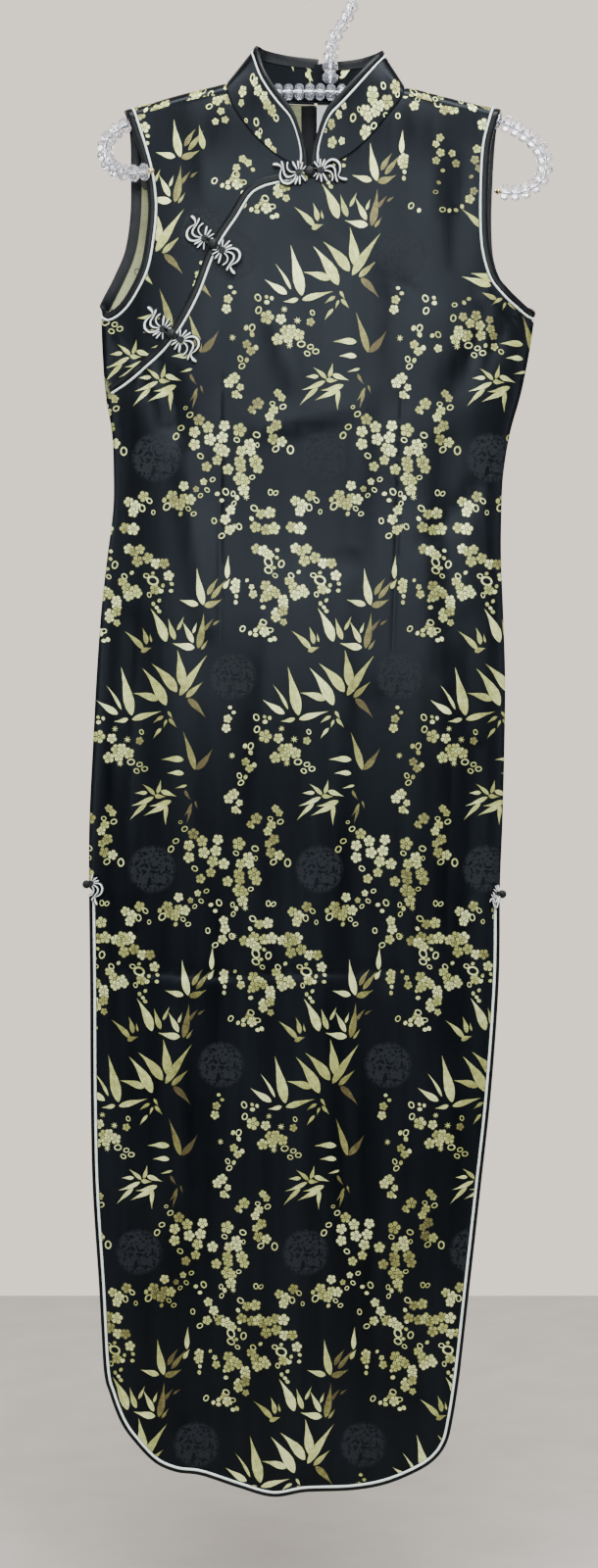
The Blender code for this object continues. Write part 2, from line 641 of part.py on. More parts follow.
def make_backs():
    inner = [p for p in pattern_grid() if drop(p.x, p.y) > 22] + arch_grid()
    turn = -(SEAM_DROP - GAP)
    for side, column, armhole_table, neck_table, back_neck, sign in (
        ("left", 1, "front_left", NECK_LEFT, BACK_NECK_LEFT, -1),
        ("right", 2, "front_right", NECK_RIGHT, BACK_NECK_RIGHT, 1),
    ):
        front_armhole = [over_ridge(p) for p in armhole_fabric(armhole_table) if 1.0 < drop(p.x, p.y) < -turn - 1]
        corner_x = cut_at_drop(armhole_fabric(armhole_table), -turn)[0].x
        armhole = list(reversed(front_armhole)) + [
            p for p in armhole_fabric(f"back_{side}") if drop(p.x, p.y) > 1.0
        ]
        front_neck = [over_ridge(p) for p in neck_fabric(neck_table, sign) if drop(p.x, p.y) < -turn - 1]
        neck_x = cut_at_drop(neck_fabric(neck_table, sign), -turn)[0].x
        neck = list(reversed(front_neck)) + neck_fabric(back_neck, sign)[:-1]
        half = GAP / 2 * sign
        middle = [Vector((read(CENTRE_BACK, z) + half, z)) for z in range(-1440, -132, 36)]
        hem = [p for p in skirt_fabric() if (p.x - read(CENTRE_BACK, p.y)) * sign > 8]
        hem_middle = read([(p.x, p.y) for p in skirt_fabric() if p.y < -1420], read(CENTRE_BACK, -1475.0))
        foot = Vector((read(CENTRE_BACK, -1475.0) + half, hem_middle))
        side_edge = side_line(SLIT_TOP, -352.0, column)
        underarm = Vector((-219.5 if side == "left" else 193.5, -345.0 if side == "left" else -344.5))
        top = Vector((CENTRE_BACK_TOP + half, -132.0 - NECK_BACK))
        if side == "right":
            outline = [foot] + hem + side_edge + [underarm] + list(reversed(armhole))
            outline += [Vector((corner_x, ridge(corner_x) + ARCH_EXTRA - turn))]
            outline += seam_line(corner_x, neck_x, turn) + neck + [top] + list(reversed(middle))
        else:
            outline = [foot] + list(reversed(hem)) + side_edge + [underarm] + list(reversed(armhole))
            outline += seam_line(corner_x, neck_x, turn) + neck + [top] + list(reversed(middle))
        sheet(f"back_{side}", outline, inner, BACK_SKIN, CLOTH, "brocade", margin=1.6)


def make_edges():
    for key, line in ARMHOLES.items():
        face, side = key.split("_")
        place = BACK_SKIN if face == "back" else BIG_FRONT_SKIN if side == "right" else FRONT_SKIN
        top = Vector((line[0].x, ridge(line[0].x) + ARCH_EXTRA - GAP / 2))
        path = [top] + [p for p in thinned(line) if drop(p.x, p.y) > 2.0]
        down_slope = Vector((ridge(top.x + 1) - ridge(top.x), -1.0))
        edge_trim(f"armhole_{key}", path, HOLE_SIDE[side], place, first=down_slope)
    edge_trim("opening", flat_curve(OPENING, 12), -1, BIG_FRONT_SKIN)
    piping = shifted(skirt_line(), SKIRT_PIPING_IN)
    edge_trim("hem_front", piping, -1, FRONT_SKIN, SLIT_BINDING)
    edge_trim("hem_back", piping, -1, BACK_SKIN, SLIT_BINDING)


# ---------------------------------------------------------------------------------------------- collar
def collar_edge(inward, step=14.0):
    """The collar's line that runs inward millimetres inside its top and front edge, from centre back to the seam."""
    top, front = COLLAR_HEIGHT - inward, inward
    radius = COLLAR_CORNER - inward
    line = curve([Vector((COLLAR_LENGTH, top)), Vector((front + max(radius, 0.5), top))], step)
    for k in range(1, 5):
        turn = math.radians(90 + 90 * k / 4)
        line.append(Vector((
            front + max(radius, 0.5) * (1 + math.cos(turn)), top - max(radius, 0.5) * (1 - math.sin(turn)),
        )))
    return line + curve([line[-1], Vector((front, COLLAR_START + 1.5))], step)[1:]


def make_collars():
    for side, place in COLLAR_SKINS.items():
        piping_in = BINDING + GAP + PIPING / 2
        edge = collar_edge(piping_in + FABRIC_IN)
        seam = curve([Vector((edge[-1].x, COLLAR_START)), Vector((COLLAR_LENGTH, COLLAR_START))], 12)
        inner = [Vector((u, v)) for u in range(18, 190, 12) for v in (10, 20, 29)]
        sheet(f"collar_{side}", edge + seam, inner, place, COLLAR_CLOTH, "brocade", margin=4.0)
        base, radius = -COLLAR_CLOTH / 2, PIPING / 2
        line = collar_edge(piping_in)
        cord(f"collar_{side}_piping", line, radius, base + radius, place, "piping")
        strip(
            f"collar_{side}_binding", collar_edge(BINDING / 2), 0.0, BINDING, base, base + BINDING_THICK,
            place, "binding",
        )


# ---------------------------------------------------------------------------------------------- fastenings
def fan(name, centre, axis, scale, bottom, place, squeeze=1.0):
    """Half a frog: a plate with the outline of its petals. squeeze narrows it along x."""
    count = 30
    outline = []
    for k in range(count):
        turn = 360 * k / count - 180
        reach = 4.0
        for angle, length in PETALS:
            away = abs((turn - angle + 180) % 360 - 180)
            reach = max(reach, length * max(0.0, math.cos(math.radians(min(away * 4.2, 90)))) ** 0.35)
        way = math.radians(axis + turn)
        across, up = squeeze * scale * reach * math.cos(way), scale * reach * math.sin(way)
        outline.append(centre + Vector((across, up)))
    layers = [(0.95, bottom), (1.0, bottom + FAN_THICK * 0.5), (0.88, bottom + FAN_THICK)]
    rings = [[place(centre.lerp(p, share), lift) for p in outline] for share, lift in layers]
    return loft(name, rings, "cord")


def knot(name, centre, radii):
    bm = bmesh.new()
    bmesh.ops.create_uvsphere(bm, u_segments=8, v_segments=6, radius=1.0)
    mesh = bpy.data.meshes.new(name)
    for v in bm.verts:
        v.co = Vector([c * r * MM for c, r in zip(v.co, radii)])
    bm.to_mesh(mesh)
    bm.free()
    mesh.shade_smooth()
    made = add_object(name, mesh, "knot")
    made.location = centre * MM
    return made


def make_frogs():
    over_trim = -CLOTH / 2 + PIPING + GAP
    for name, x, z, axis, scale in FROGS:
        at = flat(x, z)
        for half, sign in (("inner", -1), ("outer", 1)):
            way = math.radians(axis)
            centre = at + Vector((math.cos(way), math.sin(way))) * (sign * FAN_FROM_KNOT)
            turn = axis if sign == 1 else axis + 180
            on_small_front = sign == -1 and name != "frog_neck"
            place = FRONT_SKIN if on_small_front else BIG_FRONT_SKIN
            bottom = CLOTH / 2 + GAP if on_small_front else over_trim
            fan(f"{name}_{half}", centre, turn, scale, bottom, place)
        lift = over_trim + KNOT_HEIGHT - 0.6
        knot(f"{name}_knot", BIG_FRONT_SKIN(at, lift), (KNOT_RADIUS, KNOT_HEIGHT, KNOT_RADIUS))
    for side, column, inward in (("left", 1, 1), ("right", 2, -1)):
        edge = read(SIDES, SLIT_FROG_Z, column)
        centre = Vector((edge + inward * SLIT_FAN_IN, SLIT_FROG_Z))
        axis = 0.0 if inward == 1 else 180.0
        for face, place in (("front", FRONT_SKIN), ("back", BACK_SKIN)):
            fan(f"frog_slit_{side}_{face}", centre, axis, 1.0, over_trim, place, SLIT_FAN_SCALE)
        out = Vector((edge - inward * (SLIT_KNOT + GAP), 0.0, SLIT_FROG_Z))
        knot(f"frog_slit_{side}_knot", out, (SLIT_KNOT, SLIT_KNOT, SLIT_KNOT))


def centre_back(z, away):
    return Vector((read(CENTRE_BACK, z) + away, z))


def make_zip():
    inner = -CLOTH / 2 - 2 * GAP
    for side, sign in (("left", -1), ("right", 1)):
        path = [centre_back(z, 0.0) for z in (ZIP_TOP, *range(-144, round(ZIP_END), -18))]
        away = -sign * (GAP / 2 + TAPE_WIDTH / 2)
        strip(f"zip_tape_{side}", list(reversed(path)), away, TAPE_WIDTH, inner - TAPE_THICK, inner, BACK_SKIN, "tape")
    width, depth, tall = SLIDER_SIZE
    face = BACK_SKIN(centre_back(SLIDER_Z, 0.0), CLOTH / 2 + GAP).y
    lower = BACK_SKIN(centre_back(SLIDER_Z - tall / 2, 0.0), CLOTH / 2 + GAP).y
    bm = bmesh.new()
    bmesh.ops.create_cube(bm, size=1.0)
    mesh = bpy.data.meshes.new("zip_slider")
    for v in bm.verts:
        v.co = Vector((v.co.x * width, v.co.y * depth, v.co.z * tall)) * MM
    bm.to_mesh(mesh)
    bm.free()
    slider = add_object("zip_slider", mesh, "zip_metal")
    back_y = max(face, lower) + depth / 2
    slider.location = Vector((read(CENTRE_BACK, SLIDER_Z), back_y, SLIDER_Z)) * MM
    bevel = slider.modifiers.new("edges", "BEVEL")
    bevel.width, bevel.segments = 0.6 * MM, 1
    make_pull(back_y + depth / 2)


def make_pull(slider_back):
    """The tab hangs from the slider's foot. Its object's origin is on the hinge axis."""
    bm = bmesh.new()
    bmesh.ops.create_cube(bm, size=1.0)
    mesh = bpy.data.meshes.new("zip_pull")
    for v in bm.verts:
        v.co = Vector((v.co.x * PULL_WIDTH, v.co.y * PULL_THICK, (v.co.z - 0.5) * PULL_LENGTH)) * MM
    bm.to_mesh(mesh)
    bm.free()
    pull = add_object("zip_pull", mesh, "zip_metal")
    width, depth, tall = SLIDER_SIZE
    top = SLIDER_Z + tall / 2 - 2.0
    pull.location = Vector((read(CENTRE_BACK, SLIDER_Z), slider_back + GAP + PULL_THICK / 2, top)) * MM
    bevel = pull.modifiers.new("edges", "BEVEL")
    bevel.width, bevel.segments = 0.4 * MM, 1


def make_label():
    lift = -CLOTH / 2 - 2 * GAP - TAPE_THICK - GAP
    x0, x1 = LABEL_X
    z0, z1 = LABEL_Z
    path = [Vector(((x0 + x1) / 2, z)) for z in (z1, (2 * z1 + z0) / 3, (z1 + 2 * z0) / 3, z0)]
    strip("neck_label", path, 0.0, x1 - x0, lift - LABEL_THICK, lift, BACK_SKIN, "label")


# ---------------------------------------------------------------------------------------------- hanger
def beads(name, route):
    """A string of rondelle beads along a route, as one turned body."""
    length = sum((b - a).length for a, b in zip(route, route[1:]))
    count = round(length / BEAD_PITCH)
    line = curve(route, length / count / 2)
    side = (line[1] - line[0]).orthogonal().normalized()
    rings = []
    for i, p in enumerate(line):
        ahead = (line[min(i + 1, len(line) - 1)] - line[max(i - 1, 0)]).normalized()
        side = (side - ahead * side.dot(ahead)).normalized()
        other = ahead.cross(side)
        radius = BEAD_RADIUS if i % 2 else BEAD_GROOVE
        ring = []
        for k in range(BEAD_SIDES):
            turn = 2 * math.pi * k / BEAD_SIDES
            ring.append(p + (side * math.cos(turn) + other * math.sin(turn)) * radius)
        rings.append(ring)
    return loft(name, rings, "bead")


def cap(name, end, before):
    """A small end cap just past the last bead."""
    out = (end - before).normalized()
    bm = bmesh.new()
    bmesh.ops.create_cone(
        bm, cap_ends=True, segments=10, radius1=CAP_RADIUS * MM, radius2=CAP_RADIUS * 0.7 * MM, depth=CAP_LENGTH * MM,
    )
    mesh = bpy.data.meshes.new(name)
    bm.to_mesh(mesh)
    bm.free()
    made = add_object(name, mesh, "cap")
    made.location = (end + out * (GAP + CAP_LENGTH / 2)) * MM
    made.rotation_mode = "QUATERNION"
    made.rotation_quaternion = out.to_track_quat("Z", "Y")
    return made


def wire(name, route, diameter):
    data = bpy.data.curves.new(name, "CURVE")
    data.dimensions = "3D"
    data.bevel_depth = diameter / 2 * MM
    data.bevel_resolution = 2
    data.use_fill_caps = True
    spline = data.splines.new("POLY")
    spline.points.add(len(route) - 1)
    for point, p in zip(spline.points, route):
        point.co = (*(p * MM), 1.0)
    return add_object(name, data, "wire")


def under_shoulder(x):
    """The bar's height where the cloth lies on its beads."""
    slope = (ridge(x + 2) - ridge(x - 2)) / 4
    return ridge(x) - (BEAD_RADIUS + CLOTH / 2 + BEAD_CLEAR) * math.hypot(1.0, slope)


def make_hanger():
    bar = [Vector((x, y, under_shoulder(x) if z is None else z)) for x, y, z in BAR]
    beads("hanger_beads", bar)
    cap("hanger_cap_left", bar[0], bar[1])
    cap("hanger_cap_right", bar[-1], bar[-2])
    stem = [Vector((x, 0.0, z)) for x, z in STEM]
    beads("hanger_stem", stem)
    middle = Vector((0.0, 0.0, WIRE / 2 - HOOK_RADIUS))
    hook = []
    for k in range(23):
        turn = math.radians(-22 + k * 10.5)
        hook.append(middle + Vector((math.cos(turn), 0.0, math.sin(turn))) * HOOK_RADIUS)
    up = (stem[-1] - stem[-2]).normalized()
    wire("hanger_hook", [stem[-1] + up * 2 * GAP] + hook, WIRE)


clear_scene()
PARTS = bpy.data.collections.new("cheongsam dress")
bpy.context.scene.collection.children.link(PARTS)
HANG_POINT = bpy.data.objects.new("hang_point", None)
PARTS.objects.link(HANG_POINT)
make_fronts()
make_backs()
make_edges()
make_collars()
make_frogs()
make_zip()
make_label()
make_hanger()
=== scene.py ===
import math
import random

import bmesh
import bpy
import numpy as np
from mathutils import Matrix, Vector, geometry


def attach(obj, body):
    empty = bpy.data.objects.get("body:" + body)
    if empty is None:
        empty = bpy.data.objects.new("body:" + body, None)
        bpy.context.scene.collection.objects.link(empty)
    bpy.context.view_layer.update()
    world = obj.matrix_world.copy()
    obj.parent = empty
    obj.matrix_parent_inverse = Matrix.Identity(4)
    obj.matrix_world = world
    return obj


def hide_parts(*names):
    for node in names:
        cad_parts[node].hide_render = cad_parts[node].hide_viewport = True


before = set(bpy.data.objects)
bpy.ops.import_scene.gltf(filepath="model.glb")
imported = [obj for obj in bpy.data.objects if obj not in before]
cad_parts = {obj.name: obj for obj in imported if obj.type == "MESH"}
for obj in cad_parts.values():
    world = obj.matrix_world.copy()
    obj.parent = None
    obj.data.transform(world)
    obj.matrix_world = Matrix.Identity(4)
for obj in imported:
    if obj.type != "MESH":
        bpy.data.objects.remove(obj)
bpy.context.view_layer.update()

MM = 0.001
FRONT, BACK = -1, 1

# --------------------------------------------------------------------- sizes and tables shared with the model
CLOTH, COLLAR_CLOTH, GAP = 1.2, 1.4, 0.3
PIPING, BINDING, SLIT_BINDING, BINDING_THICK = 2.8, 6.0, 3.0, 1.8
OVERLAP_RISE, OVERLAP_REACH = 2.8, 60.0
SEAM_DROP = 16.0
SLIT_TOP = -893.0
ARCH = 10.3
ARCH_EXTRA = (math.pi / 2 - 1) * ARCH
SHOULDER_FALL = 80.0
EDGE_DEPTH = CLOTH / 2 + GAP / 2
LENS_POWER, LENS_ROOT = 2.6, 0.62
CENTRE_BACK_TOP, NECK_Z = -15.0, -132.0       # x and z of the neck seam at the centre back
# the camera's distance, the height it sees there, and x and z of the picture's middle, in metres
VIEW_DISTANCE, PICTURE_HEIGHT = 2.4, 1.52
CENTRE = (-0.03135, -0.79325)
NEARER = 0.0085            # how much nearer to the camera the front is than the side seams, as a share

# x, z of the shoulder ridge
RIDGE = [
    (-198.5, -141.5), (-187, -137.5), (-171.5, -133.5), (-148, -126.5), (-113, -118), (-101.5, -115.5),
    (72, -119.5), (100, -125.5), (121.5, -131), (153, -138), (162.5, -140.5),
]
# z, x of the left edge, x of the right edge
SIDES = [
    (-343, -222.5, 196), (-371.5, -221.5, 192), (-414, -218.5, 183.5), (-454, -212, 172.5),
    (-495, -210.5, 166), (-527, -211, 164.5), (-572, -216.5, 164), (-625, -222.5, 166), (-688, -227, 168),
    (-746, -230, 167.5), (-827.5, -234, 165.5), (-893, -234.5, 163), (-983, -233.5, 162),
    (-1090.5, -233, 154.5), (-1183.5, -231, 144.5), (-1278, -225, 134), (-1358.5, -220.5, 125),
    (-1482, -218, 118),
]
# z, depth of the front, depth of the back
DEPTHS = [
    (-115, 20, 16), (-200, 19, 17), (-340, 20, 17), (-440, 17, 14.5), (-530, 14, 13), (-640, 15.5, 16),
    (-727, 17, 18), (-893, 15, 16), (-1090, 12, 13), (-1300, 10, 11), (-1482, 9, 10),
]
# face, x and z of one end, x and z of the other, half width, height (a trough is negative)
FOLDS = [
    (FRONT, -150, -560, -168, -1180, 30, 2.4), (FRONT, -96, -700, -118, -1380, 26, -2.2),
    (FRONT, -35, -620, -52, -1440, 30, 2.2), (FRONT, 38, -720, 12, -1420, 24, -2.6),
    (FRONT, 92, -560, 70, -1300, 26, 2.4), (FRONT, 166, -345, 120, -410, 15, -3),
    (FRONT, -176, -388, -150, -455, 14, -2.6), (FRONT, 130, -640, 128, -960, 20, -2),
    (BACK, -140, -600, -160, -1300, 28, 2.4), (BACK, -70, -660, -95, -1400, 26, -2.4),
    (BACK, 20, -700, -5, -1420, 30, 2.2), (BACK, 88, -620, 70, -1320, 24, -2.6),
    (BACK, -150, -350, -105, -430, 16, -2.8), (BACK, 140, -350, 100, -440, 16, -2.8),
]

# x, z of the neck seam, from the shoulder ridge down to the centre front
NECK_LEFT = [
    (-101.5, -115.5), (-100.5, -125), (-95, -138), (-83, -154.5), (-71, -168), (-55, -182.5), (-39, -192),
    (-22.8, -197),
]
NECK_RIGHT = [
    (72, -119.5), (67.5, -130), (55, -144.5), (41, -161.5), (25.5, -177.5), (12.5, -187), (-3, -194),
    (-20.3, -197),
]
# x, z of the back neck seam, from the shoulder ridge to the centre back
BACK_NECK_LEFT = [(-101.5, -115.5), (-92, -120), (-76, -125.5), (-45.5, -130.5), (CENTRE_BACK_TOP, -132)]
BACK_NECK_RIGHT = [(72, -119.5), (62.5, -122.5), (47.5, -127), (16, -131), (CENTRE_BACK_TOP, -132)]
# x, z of the piping round each armhole, from the shoulder ridge to the underarm
ARMHOLE_FRONT_LEFT = [
    (-193.5, -139.5), (-184.5, -161.5), (-178.5, -180.5), (-173, -201.5), (-170, -221), (-169, -240),
    (-171.3, -266), (-177.3, -297), (-190.5, -323.5), (-202.3, -338), (-214.5, -344.6), (-221, -342.2),
]
ARMHOLE_FRONT_RIGHT = [
    (157.5, -139.2), (150, -159.5), (145.5, -181.5), (143.5, -219.5), (143.5, -257.5), (146, -282),
    (153, -305), (164.5, -320), (177, -331.5), (188, -340.2), (194.2, -342.9),
]
ARMHOLE_BACK_LEFT = [
    (-193.5, -139.5), (-188, -164), (-187.3, -200), (-187.8, -240), (-193, -276), (-203.6, -303),
    (-213, -322.5), (-217.4, -332),
]
ARMHOLE_BACK_RIGHT = [
    (157.5, -139.2), (152.5, -162), (149.8, -200), (148.3, -250), (151.5, -288), (163.5, -315), (183, -335),
    (190.5, -338.6),
]
# x, z of the piping along the front opening, from the centre front to the left side
OPENING = [
    (-21, -206), (-36, -207.5), (-51.5, -210.5), (-67.5, -215), (-79, -223), (-92, -244), (-105.5, -264),
    (-116, -285), (-129, -319), (-145.5, -349.5), (-161.5, -371), (-180.5, -388.5), (-197.5, -402.5),
    (-213.5, -412.5),
]
# x, z of the small front's edge under the big front, from the centre front to the left side
UNDERLAP = [
    (-23, -224), (-43, -232), (-66, -243), (-87, -277), (-101, -309), (-127, -361), (-160, -401),
    (-183, -418), (-199, -425),
]
# x, z of the finished edge below the slits, from the left slit round the hem to the right slit
SKIRT = [
    (-234.5, -900), (-233.5, -983), (-233, -1090.5), (-231, -1183.5), (-225, -1278), (-220.5, -1358.5),
    (-214.5, -1384), (-203.5, -1411.5), (-190, -1430), (-171, -1449), (-150, -1458), (-126, -1461),
    (-92, -1472), (-57, -1481.5), (-25, -1477), (18, -1475.5), (48, -1471), (74, -1462), (97, -1449.5),
    (111, -1432.5), (117.5, -1408), (125, -1358.5), (134, -1278), (144.5, -1183.5), (154.5, -1090.5),
    (162, -983), (163, -900),
]
# z, x of the centre back seam
CENTRE_BACK = [
    (-132, CENTRE_BACK_TOP), (-343, -13.5), (-527, -23), (-727, -31), (-893, -36), (-1183, -43), (-1482, -48),
]

# The stand collar. Its lengths run from the centre front, past the shoulder ridge at COLLAR_FRONT, to the
# centre back at COLLAR_LENGTH.
COLLAR_HEIGHT = 45.0
COLLAR_START = 1.6
COLLAR_CORNER = 36.0
COLLAR_FRONT, COLLAR_LENGTH = 116.0, 193.0
# length, x, y, z of the top edge
COLLAR_LEFT = [
    (0, -22.8, -21, -164), (25, -35, -20.5, -147), (54, -49.5, -18.5, -129), (83, -62.5, -14, -108),
    (102, -69, -7.5, -90), (116, -72, 1, -77.5), (128, -64, 8.5, -79.5), (156, -42, 13, -83.5),
    (193, -12.2, 15, -86.5),
]
COLLAR_RIGHT = [
    (0, -20.6, -22.5, -164), (25, -7.5, -21, -145.5), (54, 8.5, -18.5, -128), (83, 25.5, -14, -108.5),
    (102, 38, -7.5, -93.5), (116, 48.5, 1, -82), (128, 43, 8.5, -83), (156, 25.5, 13, -87),
    (193, -11.7, 15, -91),
]
# Frogs: name, x, z of the knot, angle of the fans' axis in degrees
FROGS = [("frog_neck", -21, -206, 6), ("frog_chest", -113.6, -275.2, -36), ("frog_side", -153.6, -361, -33)]
EYE_FROM_KNOT, KNOT_RADIUS, KNOT_HEIGHT, SLIT_KNOT = 10.6, 3.956, 2.2, 3.4
# Frogs that go round the side seam at the slits: most shows on the left, its edge on the right
# side, column of SIDES, way in, z, turn in degrees, narrowing
SLIT_FROGS = [("left", 1, 1, -889.5, -46, 0.80), ("right", 2, -1, -899, 226, 0.34)]

# Zip and label at the centre back
ZIP_FROM, ZIP_TO, TOOTH_PITCH = -135.0, -560.0, 1.5
ZIP_HINGE = (-14.83, 20.14, -147.0)
TAPE_WIDTH, TAPE_THICK = 14.0, 1.0
SEAM_FOOT = -133.2          # z of the neck seam's inside at the centre back
LABEL_X, LABEL_FOOT = (-14.0, 24.0), -172.0

# x, y, z along the bar, from its left end round the left curl to its right end
# z is None where the cloth lies on it
BAR = [
    (-175, -24, -205), (-184, -23, -206.4), (-193, -21, -206.6), (-203, -17.5, -204.5), (-211.5, -13.5, -199),
    (-217.5, -9.5, -191), (-219.5, -6, -181), (-218, -3.5, -171.5), (-212.5, -1.5, -163.5),
    (-204, -0.4, -157.5), (-195, 0, -151.5), (-187, 0, None), (-171.5, 0, None), (-148, 0, None),
    (-130, 0, None), (-113, 0, None), (-101.5, 0, None), (-60, 0, -122.8), (-15, 0, -122.3), (30, 0, -124),
    (62, 0, -127.6), (74, 0, None), (86, 0, None), (100, 0, None), (121.5, 0, None), (137, 0, None),
    (153, 0, None), (163, 0, -150.8), (176, 0, -156.5), (190, 0, -165), (201, 0, -175.5), (207.5, 0, -188.5),
    (206, 0, -203), (197.5, 0, -213.5), (185, 0, -219.5), (172, 0, -220.5), (163, 0, -219),
]
# x, z up the stem from the bar to the hook
STEM = [(-1, -113.9), (-1, -93), (0, -81), (3, -69.5), (9, -60), (14.5, -51.5), (18.8, -43), (21.8, -34.5)]
# The repeat of the pattern, about the heart of its big leaf cluster
# x, y of the base, x, y of the tip, width, shade. The shade is partly the gold's own two tones and partly
# painted light: leaves that caught less light are listed dimmer.
LEAVES = [
    (2.4, 8.5, -2.4, 44.2, 10.9, 0.8), (0, 0, 26.1, 38.8, 9.6, 0.7), (6.1, -1.8, 22.4, 13.3, 6.4, 0.5),
    (-3, 3.6, -27.3, 30.9, 11.6, 0.7), (-13.3, -9.1, -36.4, 26.7, 12.2, 0.8),
    (-21.2, -4.2, -45.5, 2.4, 8.4, 0.8), (-46.7, -18.8, -57.2, 27.9, 12.2, 0.7),
    (-57, -13.3, -71.5, 10.3, 3.6, 0.9), (-60.6, -17.6, -81.2, -4.2, 7.7, 0.9),
    (-46.1, -23, -17.6, -15.2, 7.1, 0.8), (-50.3, -22.4, -64.2, -24.8, 5.1, 0.9),
    (7.9, -3, 24.8, -21.8, 7.7, 0.2), (-15.8, -20, -25.8, -26.7, 3.9, 0.7),
    (-12.7, -23.6, -15.8, -31.5, 2.8, 0.6), (-17.9, -31.5, -25.7, -41.8, 3.6, 0.7),
    (-11.5, -15.2, -7, -23, 3.2, 0.7), (-10.3, -22.4, -3, -31.1, 4.1, 0.7),
    (-13.3, 52.1, -28.5, 84.2, 10.9, 0.9), (-4.8, 53.9, -11.2, 74.5, 6.4, 0.7),
    (-2.4, 63, 3.9, 76.4, 3.6, 0.7), (12.7, 50.9, 2.4, 71.5, 6.4, 0.9), (13.9, 46.1, -7.3, 50.3, 8.4, 0.9),
    (17.6, 45.5, 23, 80, 8.4, 0.2), (12.7, 60, 16.4, 70.3, 3.2, 0.7), (23, 61.8, 32.5, 73.9, 3.9, 0.1),
    (32.1, 67.9, 39.4, 72.7, 2.8, 0.1), (20.6, 44.2, 27.3, 53.9, 3.2, 0.3),
    (-35.1, 44.8, -53.9, 62.4, 6.4, 0.6), (-32.1, 49.7, -36.6, 66.1, 5.8, 0.5),
    (-27.3, 51.5, -28.8, 60, 2.3, 0.6), (-37.6, 42.4, -26.7, 46.1, 5.8, 0.5), (22.4, 87.3, 16.4, 123, 9, 0.8),
    (17.6, 87.3, -0.6, 92.1, 7.1, 0.9), (26.7, 97, 37, 113.3, 5.8, 0.1), (30.3, 93.3, 44.2, 111.5, 5.8, 0.2),
    (23.6, 86.1, 40.6, 92.7, 7.7, 0.2), (45.5, 112.7, 46.7, 135.1, 5.8, 0.8),
    (42.4, 103, 48.5, 112.7, 5.1, 0.8), (14.5, -71.3, 3, -34.2, 7.7, 0.4),
    (15.8, -71.3, 31.5, -50.9, 7.7, 0.1), (3.6, -61.8, -18.2, -61.8, 7.1, 0.9),
    (3.6, -75.1, -12.7, -75.1, 5.8, 0.9), (-24.2, -95.5, -36.4, -85.2, 4.5, 0.8),
    (-31.5, -93.7, -43.6, -94.1, 4.5, 0.8), (-21.8, -94.3, -18.4, -81, 4.5, 0.7),
    (-18.2, -91.9, -3, -97.3, 5.8, 0.8), (-25.5, -97.9, -47.3, -106.4, 5.1, 0.8),
    (-32.1, -104, -48.7, -120.4, 4.9, 0.8), (-13.3, -106.4, -34.9, -115.9, 5.8, 0.8),
    (-8.5, -101.6, -29.7, -106.4, 6.4, 0.9), (-12.7, -105.8, -13.6, -125.2, 4.9, 0.9),
    (-24.2, -96.7, -13.3, -97.3, 5.1, 0.7), (6.7, -86.4, -5.1, -89.4, 2.8, 0.9),
    (4.8, -91.3, 10.9, -101, 3.6, 0.2), (14.5, -101.6, 17, -109.4, 2.3, 0.2),
    (11.5, -104, 3.6, -116.7, 3.2, 0.2), (10.9, -107.6, 6.3, -124, 3.2, 0.2),
]
